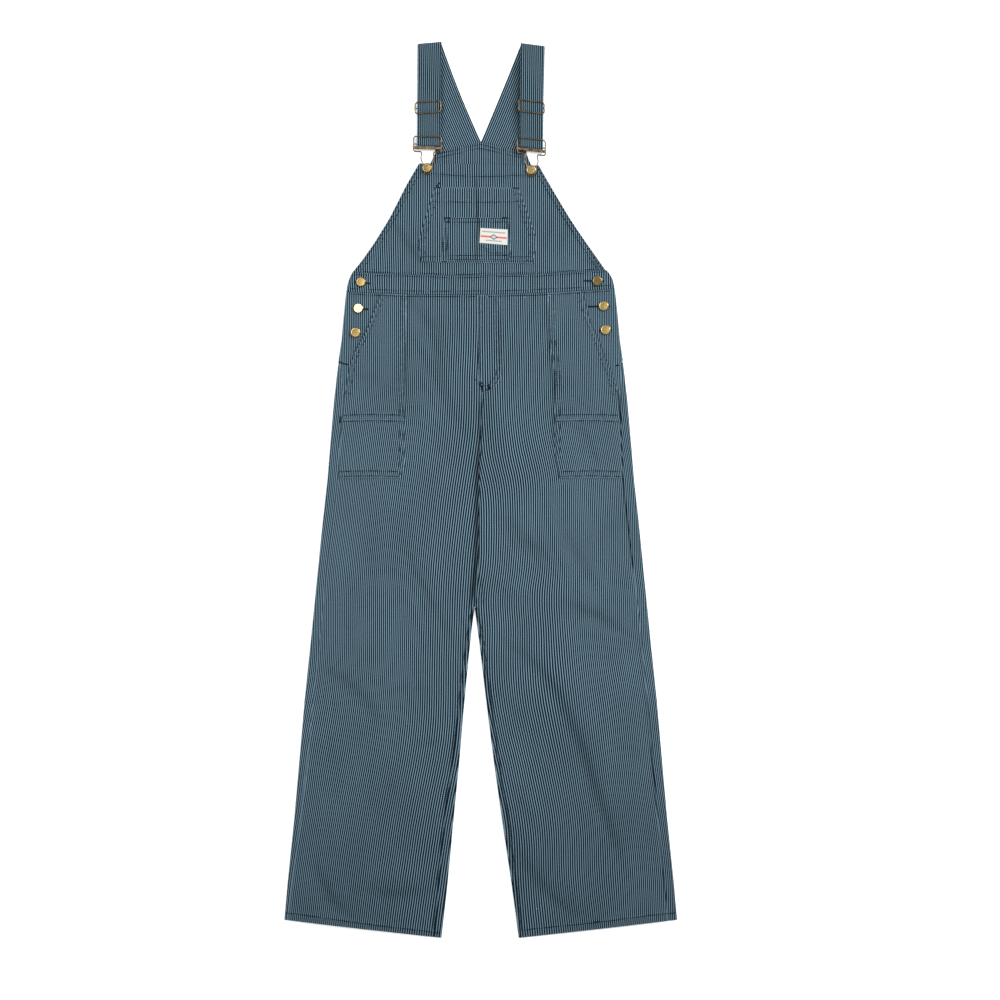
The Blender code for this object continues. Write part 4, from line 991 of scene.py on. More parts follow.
def bib_sewing():
    name = "stitches_bib"
    surface = BIB.surface
    sew(name, "bib", ((-94, 1185.6), (-74, 1184.4), (-40, 1180.6), (-1, 1178.8), (38, 1180.0), (72, 1181.9),
                      (88, 1182.4)), surface)
    for column, sign in ((1, 1), (2, -1)):
        hs = np.linspace(1035.0, 1193.0, 24)
        xs = read(BIB_SIDES, hs, column)
        edge = np.stack([xs, hs], -1)
        for step in (3.4, 8.6):
            kind = "line" if sign > 0 else "seam"
            sew(name, "bib", edge, surface, kind=kind, offset=-sign * step)
    rise = ON_PATCH
    first, second = BIB_POCKET
    for edge, sign in ((first, 1), (second, -1)):
        run = edge_run(edge, edge[0][1] + 2.0, 1160.0, 24)
        sew(name, "bib", run, surface, rise, "fine", -sign * 1.8)
        sew(name, "bib", run, surface, rise + 0.22, "fine", -sign * 8.0)
    xs = np.linspace(-75.0, 63.0, 24)
    sagging = 1140.4 - 1.4 * np.sin((xs + 75) / 138 * math.pi)
    sew(name, "bib", np.stack([xs, sagging], -1), surface, rise + 0.36)
    for height in (1047.8, 1054.6):
        xs = np.linspace(-91.0, 79.0, 24)
        lift = 0.22 if height > 1050 else 0.03
        sew(name, "bib", np.stack([xs, height + 0 * xs], -1), surface, rise + lift, "fine")
    rise = 2 * SEAM_GAP + 2 * PATCH + 0.1
    first, second = SMALL_POCKET
    for edge, sign in ((first, 1), (second, -1)):
        run = edge_run(edge, edge[0][1] + 1.6, 1114.4, 16)
        sew(name, "bib", run, surface, rise, offset=-sign * 1.7)
        sew(name, "bib", run, surface, rise + 0.36, offset=-sign * 6.6)
    for height in (1113.9, 1108.2, 1056.4, 1050.4):
        xs = np.linspace(-55.5, 43.5, 18)
        sew(name, "bib", np.stack([xs, height + 0 * xs], -1), surface, rise + 0.3)
    sew(name, "bib", ((-5.8, 1107), (-5.4, 1090), (-5.6, 1058)), surface, rise + 0.36)
    sew(name, "bib", ((-4.3, 1071.6), (14.3, 1065.6), (40.7, 1056.6)), surface, rise + 0.36, "fine")
    sew(name, "bib", ((-3.0, 1066.6), (16.0, 1061.2), (36.0, 1056.6)), surface, rise + 0.36, "fine")


def over_patches(side):
    """The leg's top along its waist seam, over the pieces sewn on it."""
    spans = {"right": ((-160.5, -114.6),), "left": ((-4.0, 29.8), (103.8, 159.8))}[side]

    def surface(x, h):
        lift = 0 * x
        for start, stop in spans:
            lift = np.where((x > start) & (x < stop), ON_PATCH, lift)
        return LEG_TOP[side](x, h) + lift
    return surface


def band_sewing():
    xs = np.linspace(-202.0, 200.0, 60)
    high = waist_seam(WAIST_HIGH, xs) - JOIN
    low = waist_seam(WAIST_LOW, xs) + JOIN
    wave = 0.5 * np.sin(xs / 21)
    sew("stitches_bib", "bib", np.stack([xs[3:-3], high[3:-3] + 2.6 + wave[3:-3]], -1), BIB.surface, 0.1)
    sew("stitches_band", "band", np.stack([xs[1:-1], high[1:-1] - 2.6 + wave[1:-1]], -1), Band.surface)
    sew("stitches_band", "band", np.stack([xs, low + 5.2 - 0.5 * wave], -1), Band.surface)
    for side in SIDES:
        part = xs[xs * SIDES[side] > 3]
        line = np.stack([part, waist_seam(WAIST_LOW, part) - 3.2 + 0.2 * np.sin(part / 17)], -1)
        sew("stitches_leg_" + side, "legs", line, over_patches(side), kind="seam")


def back_sewing():
    def flat(x, h):
        return np.full(np.shape(x), CLOTH)

    for drop in (3.2, 9.0):
        sew("stitches_back", "back", ((-66, 1217.6 - drop), (-57, 1219.6 - drop), (-5, 1231.6 - drop),
                                      (1, 1232.0 - drop), (42, 1222.0 - drop), (58, 1218.4 - drop),
                                      (66, 1217.2 - drop)), flat)


legs_sewing()
bib_sewing()
band_sewing()
back_sewing()


# ---------------------------------------------------------------- cloth pieces
# stretches of the left side seam with painted shade: from, to
SHADED_SEAM_STRETCHES = ((575, 842), (205, 300), (60, 104))


def side_seam(side, h, off):
    """Tone and paleness beside the side seam: a pale line, part wear and part painted highlight, but for the
    left seam's stretches of painted shade.
    """
    near = 1.0 * (off < SEAM_REACH)
    if side == "right":
        return 1.0 + 0 * near, near * (0.3 + 0.3 * smooth(380, 260, h))
    # painted shade over the left seam's dark stretches; elsewhere a pale line, part wear and part painted
    # highlight
    dark = 0.0
    for low, high in SHADED_SEAM_STRETCHES:
        dark = dark + smooth(low - 8, low + 8, h) * smooth(high + 8, high - 8, h)
    return 1 - 0.6 * near * dark, 0.4 * near * (1 - dark)


def leg_front(side):
    leg = LEGS[side]
    v = leg.rows(LEG_CELL)
    x_out, x_in = leg.front_ends(v)
    u = steps(232.0, LEG_CELL)
    x = x_out[:, None] + (x_in - x_out)[:, None] * u
    h = leg.height(v[:, None], x)
    width = np.abs(x_in - x_out)[:, None]
    side_off = np.minimum(u * width, (1 - u) * width)
    run = v[:, None] * leg.waist_inner
    border = np.minimum(side_off, np.minimum(run, leg.waist_inner - run) + 0 * x)
    relief = leg.lift(u[None, :] + 0 * x, x, h) + leg.tremble(x, h)
    hem = 0.8 * (1 - smooth(HEM_WIDTH - 1.0, HEM_WIDTH + 1.2, run))
    low = LEG_LOW + relief
    top = low + CLOTH + hem - rounding(border)
    tone, wear_and_painted_light = side_seam(side, h, u * width)
    inseam = (1 - u) * width
    # painted shade along the inseam, below the crotch
    rope_and_shade = 0.32 * (inseam < SEAM_REACH) + 0.16 * (inseam >= SEAM_REACH) * (inseam < 4.6)
    tone = tone * (1 - rope_and_shade * smooth(520, 490, h))
    values = {"tone": tone_of(h, x, "legs") * tone, "pucker": pucker_near("legs", x, h), "wear_and_painted_light": wear_and_painted_light}
    return shell("front_" + side, "leg_front_" + side, place(x, h, top), place(x, h, low),
                 leg.phase(x, h), h, values)


def leg_back(side):
    """Flat below, rolled up and over at the side and at the inseam."""
    leg = LEGS[side]
    v = leg.rows(LEG_CELL)
    x_out, _, x_in, _ = leg.ends(v)
    inward = -leg.sign
    lap = (0.0, 0.03, 0.08, 0.16, 0.36, 0.58, 0.79, 1.0)
    roll, flat, inner_roll = 9, 22, 7
    columns = []
    for share in lap[:-1]:
        start = x_out + inward * leg.side_roll(v)
        columns.append((start + (x_out + inward * ROLL_RADIUS - start) * share, math.pi / 2,
                        share * (leg.side_roll(v) - ROLL_RADIUS)))
    for k in range(roll + 1):
        columns.append((x_out + inward * ROLL_RADIUS, math.pi / 2 - math.pi * k / roll, None))
    below = v <= leg.crotch + 1e-9
    flat_end = x_in - np.where(below, inward * ROLL_RADIUS, 0.0)
    flat_start = x_out + inward * ROLL_RADIUS
    for k in range(1, flat):
        columns.append((flat_start + (flat_end - flat_start) * k / flat, -math.pi / 2, None))
    for k in range(inner_roll + 1):
        columns.append((flat_end, -math.pi / 2 - math.pi * k / inner_roll, None))
    for share in (0.4, 0.75, 0.92, 1.0):
        stop = x_in - inward * leg.inseam_roll(v)
        columns.append((flat_end + (stop - flat_end) * share, -1.5 * math.pi,
                        (1 - share) * (leg.inseam_roll(v) - ROLL_RADIUS)))
    outside, inside, phases, tones, heights, pulls, wear_and_painted_light = [], [], [], [], [], [], []
    for number, (x, turn, border) in enumerate(columns):
        seam_off = np.full(len(v), 99.0)
        if number < len(lap) - 1:
            seam_off = 0.6 + lap[number] * (leg.side_roll(v) - ROLL_RADIUS)
        grids = []
        for radius in (ROLL_RADIUS, ROLL_RADIUS - CLOTH):
            along = x - inward * radius * math.cos(turn)
            h = leg.height(v, along)
            z = ROLL_RADIUS + radius * math.sin(turn)
            z = np.full(len(v), z)
            if border is not None and radius == ROLL_RADIUS:
                z = z - rounding(np.maximum(border, 0.0))
            grids.append(place(along, h, z))
        outside.append(grids[0])
        inside.append(grids[1])
        # the stripes run on round the edge
        arc = ROLL_RADIUS * (math.pi / 2 - turn) if turn > -math.pi / 2 - 1e-6 else 0.0
        spot = x + (leg.sign * arc if turn > -math.pi / 2 + 1e-6 else 0.0)
        if turn < -math.pi / 2 - 1e-6:
            spot = x - leg.sign * ROLL_RADIUS * (-math.pi / 2 - turn)
        phases.append(leg.phase(spot, h, 0.37))
        # painted shade and the pale line beside the side seam, as on the front
        edge_tone, edge_wear_and_light = side_seam(side, h, seam_off)
        tones.append(tone_of(h, x + 0 * h, "legs") * edge_tone)
        wear_and_painted_light.append(edge_wear_and_light + 0 * h)
        heights.append(h)
        pulls.append(pucker_near("legs", x, h) if border is not None else np.zeros(len(v)))
    outside, inside = (np.stack(g, 1) for g in (outside, inside))
    outer_cells = len(lap) - 1 + roll
    inner_start = outer_cells + flat
    present = np.ones((len(v) - 1, len(columns) - 1), bool)
    middle = (v[:-1] + v[1:]) / 2
    present[middle > leg.opening, :outer_cells] = False
    present[middle > leg.crotch, inner_start:] = False
    values = {"tone": np.stack(tones, 1), "pucker": np.stack(pulls, 1), "wear_and_painted_light": np.stack(wear_and_painted_light, 1)}
    return shell("back_" + side, "leg_back_" + side, outside, inside,
                 np.stack(phases, 1), np.stack(heights, 1), values, present)


def band(name, inset, thickness, level, node, raised):
    share = steps(30.0, CELL)
    right = read(WAIST_SIDES, share, 1) + inset
    left = read(WAIST_SIDES, share, 2) - inset
    u = steps(BACK_WIDTH, 2.8 if raised else 8.0)
    x = right[:, None] + (left - right)[:, None] * u
    low_seam = waist_seam(WAIST_LOW, x) + JOIN
    high_seam = waist_seam(WAIST_HIGH, x) - JOIN
    h = low_seam + (high_seam - low_seam) * share[:, None]
    border = np.minimum(np.minimum(h - low_seam, high_seam - h), np.minimum(u, 1 - u) * BACK_WIDTH)
    top = Band.surface(x, h) if raised else np.full(x.shape, level + thickness)
    low = np.maximum(top - thickness, level)
    top = top - rounding(border, 0.8 if raised else 0.5)
    phase = 0.283 * (x + 4.3) + 0.3 * ripple(x / 60, h / 30, 14) + (0.4 if raised else 0.1)
    pull = pucker_near("band", x, h) if raised else 0 * x
    values = {"tone": tone_of(h, x), "pucker": pull}
    return shell(name, node, place(x, h, top), place(x, h, low), phase, h, values)


def bib_front():
    t = steps(BIB_HEIGHT, CELL)
    u = with_crease(steps(300.0, 2.8) + 0.0095, 1.6 / 300.0) - 0.0095
    x_right, _, x_left, _ = BIB.sides(t)
    x = x_right[:, None] + (x_left - x_right)[:, None] * u
    h = BIB.height(t[:, None], x)
    border = np.minimum(np.minimum(x - x_right[:, None], x_left[:, None] - x),
                        np.minimum(t, 1 - t)[:, None] * BIB_HEIGHT)
    top = BIB.surface(x, h)
    low = np.maximum(BIB_LOW, top - BAND)
    top = top - rounding(border, 0.7)
    values = {"tone": tone_of(h, x, "bib"), "pucker": pucker_near("bib", x, h)}
    return shell("bib", "bib_front", place(x, h, top), place(x, h, low), BIB.phase(x, h), h, values)


def bib_back():
    t = steps(190.0, 4.0)
    u = steps(BACK_WIDTH, 4.0)
    centre = np.abs(u - 0.5).argmin()
    u[centre] = 0.5
    foot = BACK_SIDES[0][1] + (BACK_SIDES[0][2] - BACK_SIDES[0][1]) * u
    h_foot = waist_seam(WAIST_HIGH, foot) + JOIN
    peak = (BACK_PEAK[1] - BACK_SHOULDER) * (1 - np.abs(2 * u - 1))
    h_top = BACK_SHOULDER + peak - JOIN
    h = h_foot + (h_top - h_foot) * t[:, None]
    h_edge = WAIST_HIGH[0][1] + (BACK_SHOULDER - WAIST_HIGH[0][1]) * t
    right, left = (read(BACK_SIDES, h_edge, k)[:, None] for k in (1, 2))
    x = right + (left - right) * u
    border = np.minimum(np.minimum(x - right, left - x), np.minimum(h - h_foot, h_top - h))
    top = CLOTH - rounding(border, 0.5)
    pull = pucker_near("back", x, h)
    values = {"tone": 0.97 * tone_of(h, x), "pucker": pull}
    phase = 0.296 * (x + 4.0) + 0.15 * ripple(x / 40, h / 40, 15)
    return shell("back_bib", "bib_back", place(x, h, top), place(x, h, 0 * x), phase, h, values)


def under_waist(x):
    """Where the pieces that run up to the waistband stop."""
    return waist_seam(WAIST_LOW, x) - 0.5


def fly():
    x0, h0, half_width, half_height = FLY_CURVE
    turns = np.radians((86, 80, 74, 68, 60, 52, 44, 34, 24, 12, 0))
    curve = tuple((x0 + half_width * math.cos(t), h0 - half_height * math.sin(t)) for t in turns)
    edges = (FLY_LEFT_EDGE, curve + FLY_RIGHT_EDGE)
    leg = LEGS["left"]
    return sewn("fly_piece", "fly", edges, leg.surface, SEAM_GAP,
                lambda x, h: leg.phase(x, h, 0.12), "legs", top_edge=under_waist)


def sewn_pieces():
    sewn("pocket_large", "bib_pocket", BIB_POCKET, BIB.surface, SEAM_GAP,
         lambda x, h: BIB.phase(x, h, 0.4), "bib")
    sewn("pocket_small", "bib_pocket_small", SMALL_POCKET, BIB.surface, 2 * SEAM_GAP + PATCH,
         lambda x, h: BIB.phase(x, h, 0.7) + 0.10 * ripple(x / 20, h / 50, 16), "bib")
    sewn("label_piece", "label", LABEL, BIB.surface, 3 * SEAM_GAP + 2 * PATCH,
         lambda x, h: (x - LABEL_LEFT) / LABEL_WIDTH, "bib", cell=1.6, slot="label_cloth")
    fly()
    for side, leg in LEGS.items():
        sewn("hip_patch_upper_" + side, "hip_patch_" + side, HIP_PATCH[side], leg.surface, SEAM_GAP,
             lambda x, h, leg=leg: leg.phase(x, h, 0.55), "legs", top_edge=under_waist)
        sewn("hip_patch_lower_" + side, "hip_patch_low_" + side, HIP_PATCH_LOW[side], leg.surface,
             SEAM_GAP, lambda x, h, leg=leg: leg.phase(x, h, 0.25), "legs")


def buckle_z(v):
    return LOOP_Z + max(v - LOOP_FLAT, 0.0) * BUCKLE_RISE


def half_turn(h, z, start, count, sweep=math.pi):
    turns = [start + sweep * k / count for k in range(count + 1)]
    return [(h + FOLD_RADIUS * math.cos(t), z + FOLD_RADIUS * math.sin(t)) for t in turns]


def rounded(points, step=2.4):
    """A smooth curve through points, even steps."""
    p = np.array(points, float)
    out = []
    for k in range(len(p) - 1):
        before, here, after, beyond = p[max(k - 1, 0)], p[k], p[k + 1], p[min(k + 2, len(p) - 1)]
        count = max(int(np.linalg.norm(after - here) / step), 1)
        for t in np.arange(count) / count:
            square = 2 * before - 5 * here + 4 * after - beyond
            cube = 3 * here - before - 3 * after + beyond
            out.append(0.5 * (2 * here + (after - before) * t + square * t ** 2 + cube * t ** 3))
    out.append(p[-1])
    return [tuple(q) for q in out]


def strap_path(side):
    fold_h = sum(STRAP_FOLD[side]) / 2 - FOLD_RADIUS - STRAP / 2
    slider_h = SLIDER_AT[side][1]
    button_h = BUCKLE_AT[side][1]
    bar_h = button_h + LOOP_BAR
    bar_z = buckle_z(LOOP_BAR)
    top_wire_h = button_h + BUCKLE_TOP
    over = MIDDLE_BAR_Z + WIRE + SEAM_GAP + STRAP / 2
    under = SLIDER_Z - WIRE - SEAM_GAP - STRAP / 2 - 0.1
    run = [
        (1368.0, 4.75), (1350.0, 4.5), (1318.0, 4.6), (slider_h + 16, 5.1),
        (slider_h + SLIDER_HALF[1], under), (slider_h + 4, over - 0.35), (slider_h + 1, over),
        (slider_h - 1, over), (slider_h - 4, over - 0.35), (slider_h - SLIDER_HALF[1], under),
        (slider_h - 17, 5.2), (top_wire_h + 12, 5.2), (top_wire_h, 5.85), (top_wire_h - 5, 7.4),
    ]
    path = half_turn(fold_h, STRAP / 2 + FOLD_RADIUS, -math.pi / 2, 10) + rounded(run)
    path += half_turn(bar_h, bar_z, math.pi / 2, 10)
    path += rounded([(top_wire_h - 3, 4.25), (top_wire_h + 6, 3.5), (slider_h - 14, 2.8)], 3.0)
    path += half_turn(slider_h, MIDDLE_BAR_Z, -math.pi / 2, 5, math.pi / 2.5)
    return path


def strap_cross(side, h):
    at_fold, at_slider, at_buckle = STRAP_FRONT[side]
    outer_fold, inner_fold = STRAP_FOLD[side]
    slider_h = SLIDER_AT[side][1]
    buckle_h = BUCKLE_AT[side][1] + BUCKLE_TOP
    rise = -SIDES[side] * (inner_fold - outer_fold) / (2 * STRAP_HALF)
    stations = (
        (buckle_h, at_buckle, BUCKLE_TILT[side], STRAP_HALF),
        (slider_h - 10, at_buckle + 0.8 * (at_slider - at_buckle), SLIDER_TILT[side], STRAP_HALF),
        (slider_h + 10, at_slider, SLIDER_TILT[side], STRAP_HALF),
        ((outer_fold + inner_fold) / 2, at_fold, rise, STRAP_HALF + 0.5),
    )
    return [float(read(stations, h, column)) for column in (1, 2, 3)]


def strap(side):
    sign = SIDES[side]
    outer_fold, inner_fold = STRAP_FOLD[side]
    half = STRAP / 2
    across = steps(2 * STRAP_HALF, 3.0, (0.0, 0.3, 0.8, 1.6))     # from the outer to the inner edge
    fold_x, _, fold_half = strap_cross(side, LENGTH)
    drop = FOLD_RADIUS + half
    outer_start = np.array((float(read(BACK_SIDES, BACK_SHOULDER, COLUMN[side])), BACK_SHOULDER + JOIN))
    inner_start = np.array((BACK_PEAK[0] + sign * JOIN, BACK_PEAK[1] + JOIN))
    outer_end = np.array((fold_x + sign * fold_half, outer_fold - drop))
    inner_end = np.array((fold_x - sign * fold_half, inner_fold - drop))
    along = (inner_end - inner_start) / np.linalg.norm(inner_end - inner_start)
    side_way = np.array((along[1], -along[0]))
    tops, lows, phases, runs = [], [], [], []
    for t in np.linspace(0.0, 1.0, BACK_ROWS + 1)[:-1]:
        outer = outer_start + (outer_end - outer_start) * t
        inner = inner_start + (inner_end - inner_start) * t
        bow = sign * STRAP_BOW[side] * 4 * t * (1 - t)
        inner[0] += bow
        spots = outer + (inner - outer) * across[:, None]
        width = np.linalg.norm(outer - inner)
        border = np.minimum(across, 1 - across) * width
        if t == 0.0:
            border = border * 0
        wave = 0.12 * ripple(spots[:, 0] / 18, spots[:, 1] / 18, 17) * smooth(0, 3, border)
        tops.append(place(spots[:, 0], spots[:, 1], STRAP - rounding(border, 0.5) + wave))
        lows.append(place(spots[:, 0], spots[:, 1], 0 * border))
        phases.append(np.abs((spots - inner_start - np.array((bow * 0.6, 0.0))) @ side_way) * STRAP_STRIPE)
        runs.append(spots[:, 1])
    path = strap_path(side)
    for k, (h, z) in enumerate(path):
        before = np.array(path[max(k - 1, 0)])
        after = np.array(path[min(k + 1, len(path) - 1)])
        run = after - before if k else np.array((1.0, 0.0))
        run = run / np.linalg.norm(run)
        normal = np.array((-run[1], run[0])) * half
        x, tilt, half_width = strap_cross(side, h)
        edge = sign * half_width * (1 - 2 * across)
        lean = tilt * edge
        border = np.minimum(across, 1 - across) * 2 * half_width
        thin = 1 - rounding(border, 0.6) / half
        tops.append(place(x + edge, h + lean + normal[0] * thin, z + normal[1] * thin))
        lows.append(place(x + edge, h + lean - normal[0] * thin, z - normal[1] * thin))
        phases.append((1 - across) * 2 * half_width * STRAP_STRIPE)
        runs.append(STRAP_TURN - h + 0 * across)
    top, low, phase, run = (np.stack(g) for g in (tops, lows, phases, runs))
    tone = 1 + 0.05 * ripple(run / 30, phase, 23)
    # the front run's shadow on the back run
    spot_x, spot_h = top[..., 0] / MM, top[..., 1] / MM + LENGTH / 2
    edge, reach, shade_depth = {"right": (-60.0, 5.0, 0.40), "left": (58.6, 16.0, 0.55)}[side]
    gap = sign * (edge - spot_x)
    tall = smooth(1382, 1345, spot_h) * smooth(1215, 1275, spot_h)
    lower = np.arange(len(run))[:, None] <= BACK_ROWS
    tone = tone * np.where(lower & (gap > -4), 1 - shade_depth * tall * smooth(reach, 0.0, np.maximum(gap, 0)), 1.0)
    # painted shade: the front run of the strap is made darker than its back run
    tone = tone * np.where(lower, 1.0, 0.84)
    values = {"tone": tone, "pucker": 0.25 * (np.abs(across - 0.5) > 0.40) + 0 * tone}
    return shell("strap_cloth_" + side, "strap_" + side, top, low, phase, run, values)


# ---------------------------------------------------------------- sewing thread
def capsule(start, end, up, radius):
    """Points and faces of one stitch: a small body, low at its ends."""
    axis = end - start
    length = np.linalg.norm(axis)
    axis = axis / length
    side = np.cross(axis, up)
    side /= np.linalg.norm(side)
    lift = np.cross(side, axis)
    points = [start - lift * radius * 0.8]
    for share in (0.18, 0.82):
        for k in range(5):
            turn = 2 * math.pi * k / 5 + math.pi / 2
            points.append(start + axis * length * share + side * radius * math.cos(turn)
                          + lift * radius * math.sin(turn))
    points.append(end - lift * radius * 0.8)
    faces = []
    for k in range(5):
        following = (k + 1) % 5
        faces.append((0, 1 + k, 1 + following))
        faces.append((1 + k, 6 + k, 6 + following, 1 + following))
        faces.append((11, 6 + following, 6 + k))
    return points, faces


def walk(line, step):
    """Even points and directions along a polyline."""
    lengths = np.hypot(*np.diff(line, axis=0).T)
    total = lengths.sum()
    run = np.concatenate([[0], np.cumsum(lengths)])
    marks = np.arange(step / 2, total, step)
    x = np.interp(marks, run, line[:, 0])
    h = np.interp(marks, run, line[:, 1])
    ahead = np.stack([np.interp(marks + 0.5, run, line[:, k]) - np.interp(marks - 0.5, run, line[:, k])
                      for k in (0, 1)], -1)
    ahead /= np.maximum(np.linalg.norm(ahead, axis=1), 1e-9)[:, None]
    return x, h, ahead


# kinds of stitch: step along the line, length, radius of the thread, across the line or not
KINDS = {
    "line": (3.3, 2.9, 0.47, False),
    "seam": (3.3, 3.15, 0.58, False),
    "fine": (3.3, 2.5, 0.36, False),
    "lint": (3.0, 2.6, 0.38, False),
    "tack": (0.8, 2.4, 0.42, True),
    "hole": (0.7, 2.0, 0.40, True),
    "knob": (0.7, 3.6, 0.42, True),
}


def make_stitches():
    meshes = {}
    for name, line, surface, rise, kind in SEWING:
        step, length, radius, cross = KINDS[kind]
        x, h, ahead = walk(line, step)
        if cross:
            ahead = np.stack([-ahead[:, 1], ahead[:, 0]], -1)
            jitter = 0.12 * ripple(np.arange(len(x)) * 1.7, x, 31)[:, None]
            ahead = ahead + jitter * ahead[:, ::-1]
        half = length / 2
        ax, ah = x - ahead[:, 0] * half, h - ahead[:, 1] * half
        bx, bh = x + ahead[:, 0] * half, h + ahead[:, 1] * half
        az = surface(ax, ah) + rise
        bz = surface(bx, bh) + rise
        points, faces = meshes.setdefault(name, ([], []))
        up = np.array((0.0, 0.0, 1.0))
        for k in range(len(x)):
            start, end = np.array((ax[k], ah[k], az[k])), np.array((bx[k], bh[k], bz[k]))
            spots, rings = capsule(start, end, up, radius)
            first = len(points)
            points += spots
            faces += [tuple(first + c for c in ring) for ring in rings]
    for name, (points, faces) in meshes.items():
        spots = np.array(points)
        spots[:, 1] -= LENGTH / 2
        look = {"lint": PALE_THREAD, "lint_brown": BROWN_THREAD}.get(name, THREAD)
        new_piece(name, spots * MM, [list(f) for f in faces], look, angle=180)


# buttonholes beside the side buttons: reach away from the button, drop over that reach
BUTTONHOLES = {
    "right": ((15.8, -2.4), (14.8, -1.6), (9.2, -1.0)),
    "left": ((20.5, 0.4), (22.8, -1.0), (9.0, -1.4)),
}


def tacks():
    """Bar tacks and buttonholes."""
    left, right = LEG_TOP["left"], LEG_TOP["right"]
    on = ON_PATCH
    for name, surface, rise, line in (
        ("stitches_leg_right", right, 0.5, ((-219.2, 892.4), (-212.0, 889.2), (-205.4, 888.0))),
        ("stitches_leg_right", right, on, ((-217.7, 808.6), (-217.6, 797.8))),
        ("stitches_leg_left", left, 0.5, ((209.0, 886.2), (214.6, 887.2))),
        ("stitches_leg_left", left, on, ((216.4, 804.6), (216.6, 794.8))),
        ("stitches_leg_left", left, 0.9, ((173.6, 24.6), (183.6, 25.8))),
        ("stitches_leg_left", left, on + 0.2, ((-1.2, 861.0), (4.0, 857.4))),
        ("stitches_leg_left", left, on + 0.2, ((1.6, 856.0), (3.4, 846.0))),
        ("stitches_leg_left", left, on + 0.2, ((7.0, 856.6), (8.6, 847.4))),
        ("stitches_leg_left", left, on + 0.2, ((12.0, 857.8), (13.4, 849.4))),
        ("stitches_bib", BIB.surface, on, ((-69.8, 1161.8), (-61.6, 1161.6))),
        ("stitches_bib", BIB.surface, on, ((49.4, 1161.0), (57.0, 1160.8))),
        ("stitches_bib", BIB.surface, 0.4, ((-69.0, 1163.2), (-62.0, 1170.4))),
        ("stitches_bib", BIB.surface, on + 1.3, ((-55.4, 1114.6), (-46.2, 1114.8))),
        ("stitches_bib", BIB.surface, on + 1.3, ((33.0, 1115.0), (42.6, 1114.8))),
        ("stitches_bib", BIB.surface, on + 1.3, ((-54.9, 1108.4), (-46.4, 1108.4))),
        ("stitches_bib", BIB.surface, on, ((-60.0, 1047.6), (-52.0, 1047.6))),
    ):
        sew(name, None, line, surface, rise, "tack")
    for side, sign in SIDES.items():
        for number, (x, h) in enumerate(SIDE_BUTTONS[side], 1):
            surface = Band.surface if number == 1 else LEG_TOP[side]
            name = "stitches_band" if number == 1 else "stitches_leg_" + side
            rise = 0.5 if number == 2 else 0.15
            reach, drop = BUTTONHOLES[side][number - 1]
            away = -sign
            line = ((x - away * 9.2, h - 0.2), (x + away * reach, h + drop))
            for shift in (-0.45, 0.45):
                moved = tuple((px, ph + shift) for px, ph in line)
                sew(name, None, moved, surface, rise, "hole")
            if number < 3:
                end = (x + away * (reach - 1.6), h + drop)
                beyond = (end[0] + away * 1.6, end[1])
                sew(name, None, (end, beyond), surface, rise + 0.1, "knob")


# ---------------------------------------------------------------- metalwork
def swept(points, section, closed):
    """Points and faces of a bar: a section of (across, up) offsets along a path in mm."""
    path = [Vector(p) for p in points]
    count = len(path)
    spots, rings = [], []
    for k, here in enumerate(path):
        before = path[k - 1] if closed or k else here
        after = path[(k + 1) % count] if closed or k < count - 1 else here
        into = (here - before).normalized() if before != here else (after - here).normalized()
        out = (after - here).normalized() if after != here else into
        run = (into + out).normalized()
        up = Vector((0, 0, 1)) if abs(run.z) < 0.9 else Vector((0, 1, 0))
        across = run.cross(up).normalized()
        up = across.cross(run)
        stretch = 1 / max(math.sqrt((1 + into.dot(out)) / 2), 0.6)
        ring = []
        for a, b in section:
            ring.append(len(spots))
            spots.append(tuple(here + across * (a * stretch) + up * b))
        rings.append(ring)
    sides = len(section)
    faces = []
    pairs = list(zip(rings, rings[1:]))
    if closed:
        pairs.append((rings[-1], rings[0]))
    for first, second in pairs:
        for s in range(sides):
            following = (s + 1) % sides
            faces.append([first[s], first[following], second[following], second[s]])
    if not closed:
        faces.append(rings[0][::-1])
        faces.append(rings[-1])
    return spots, faces


def circle(radius, sides=14):
    return [(radius * math.cos(2 * math.pi * k / sides), radius * math.sin(2 * math.pi * k / sides))
            for k in range(sides)]


def flat_section(width, height, corner):
    ring = []
    for cx, cy, start in ((1, 1, 0), (-1, 1, 1), (-1, -1, 2), (1, -1, 3)):
        for k in range(4):
            turn = math.pi / 2 * (start + k / 3)
            ring.append((cx * (width - corner) + corner * math.cos(turn), cy * (height - corner)
                         + corner * math.sin(turn)))
    return ring


def metal_piece(name, parts, material, nodes, tone=1.0):
    points, faces = [], []
    for spots, rings in parts:
        first = len(points)
        points += spots
        faces += [[first + c for c in ring] for ring in rings]
    spots = np.array(points)
    spots[:, 1] -= LENGTH / 2
    # tone: a button's painted highlight or shade, 1 for the other metal
    piece = new_piece(name, spots * MM, faces, material, nodes,
                      values={"tone": np.full(len(spots), tone)}, angle=50)
    data = bmesh.new()
    data.from_mesh(piece.data)
    bmesh.ops.recalc_face_normals(data, faces=data.faces)
    data.to_mesh(piece.data)
    data.free()
    piece.data.set_sharp_from_angle(angle=math.radians(50))
    return piece


def bend(centre, radius, start, count=8):
    turns = [start - math.pi / 2 * k / count for k in range(count + 1)]
    return [(centre[0] + radius * math.cos(t), centre[1] + radius * math.sin(t)) for t in turns]


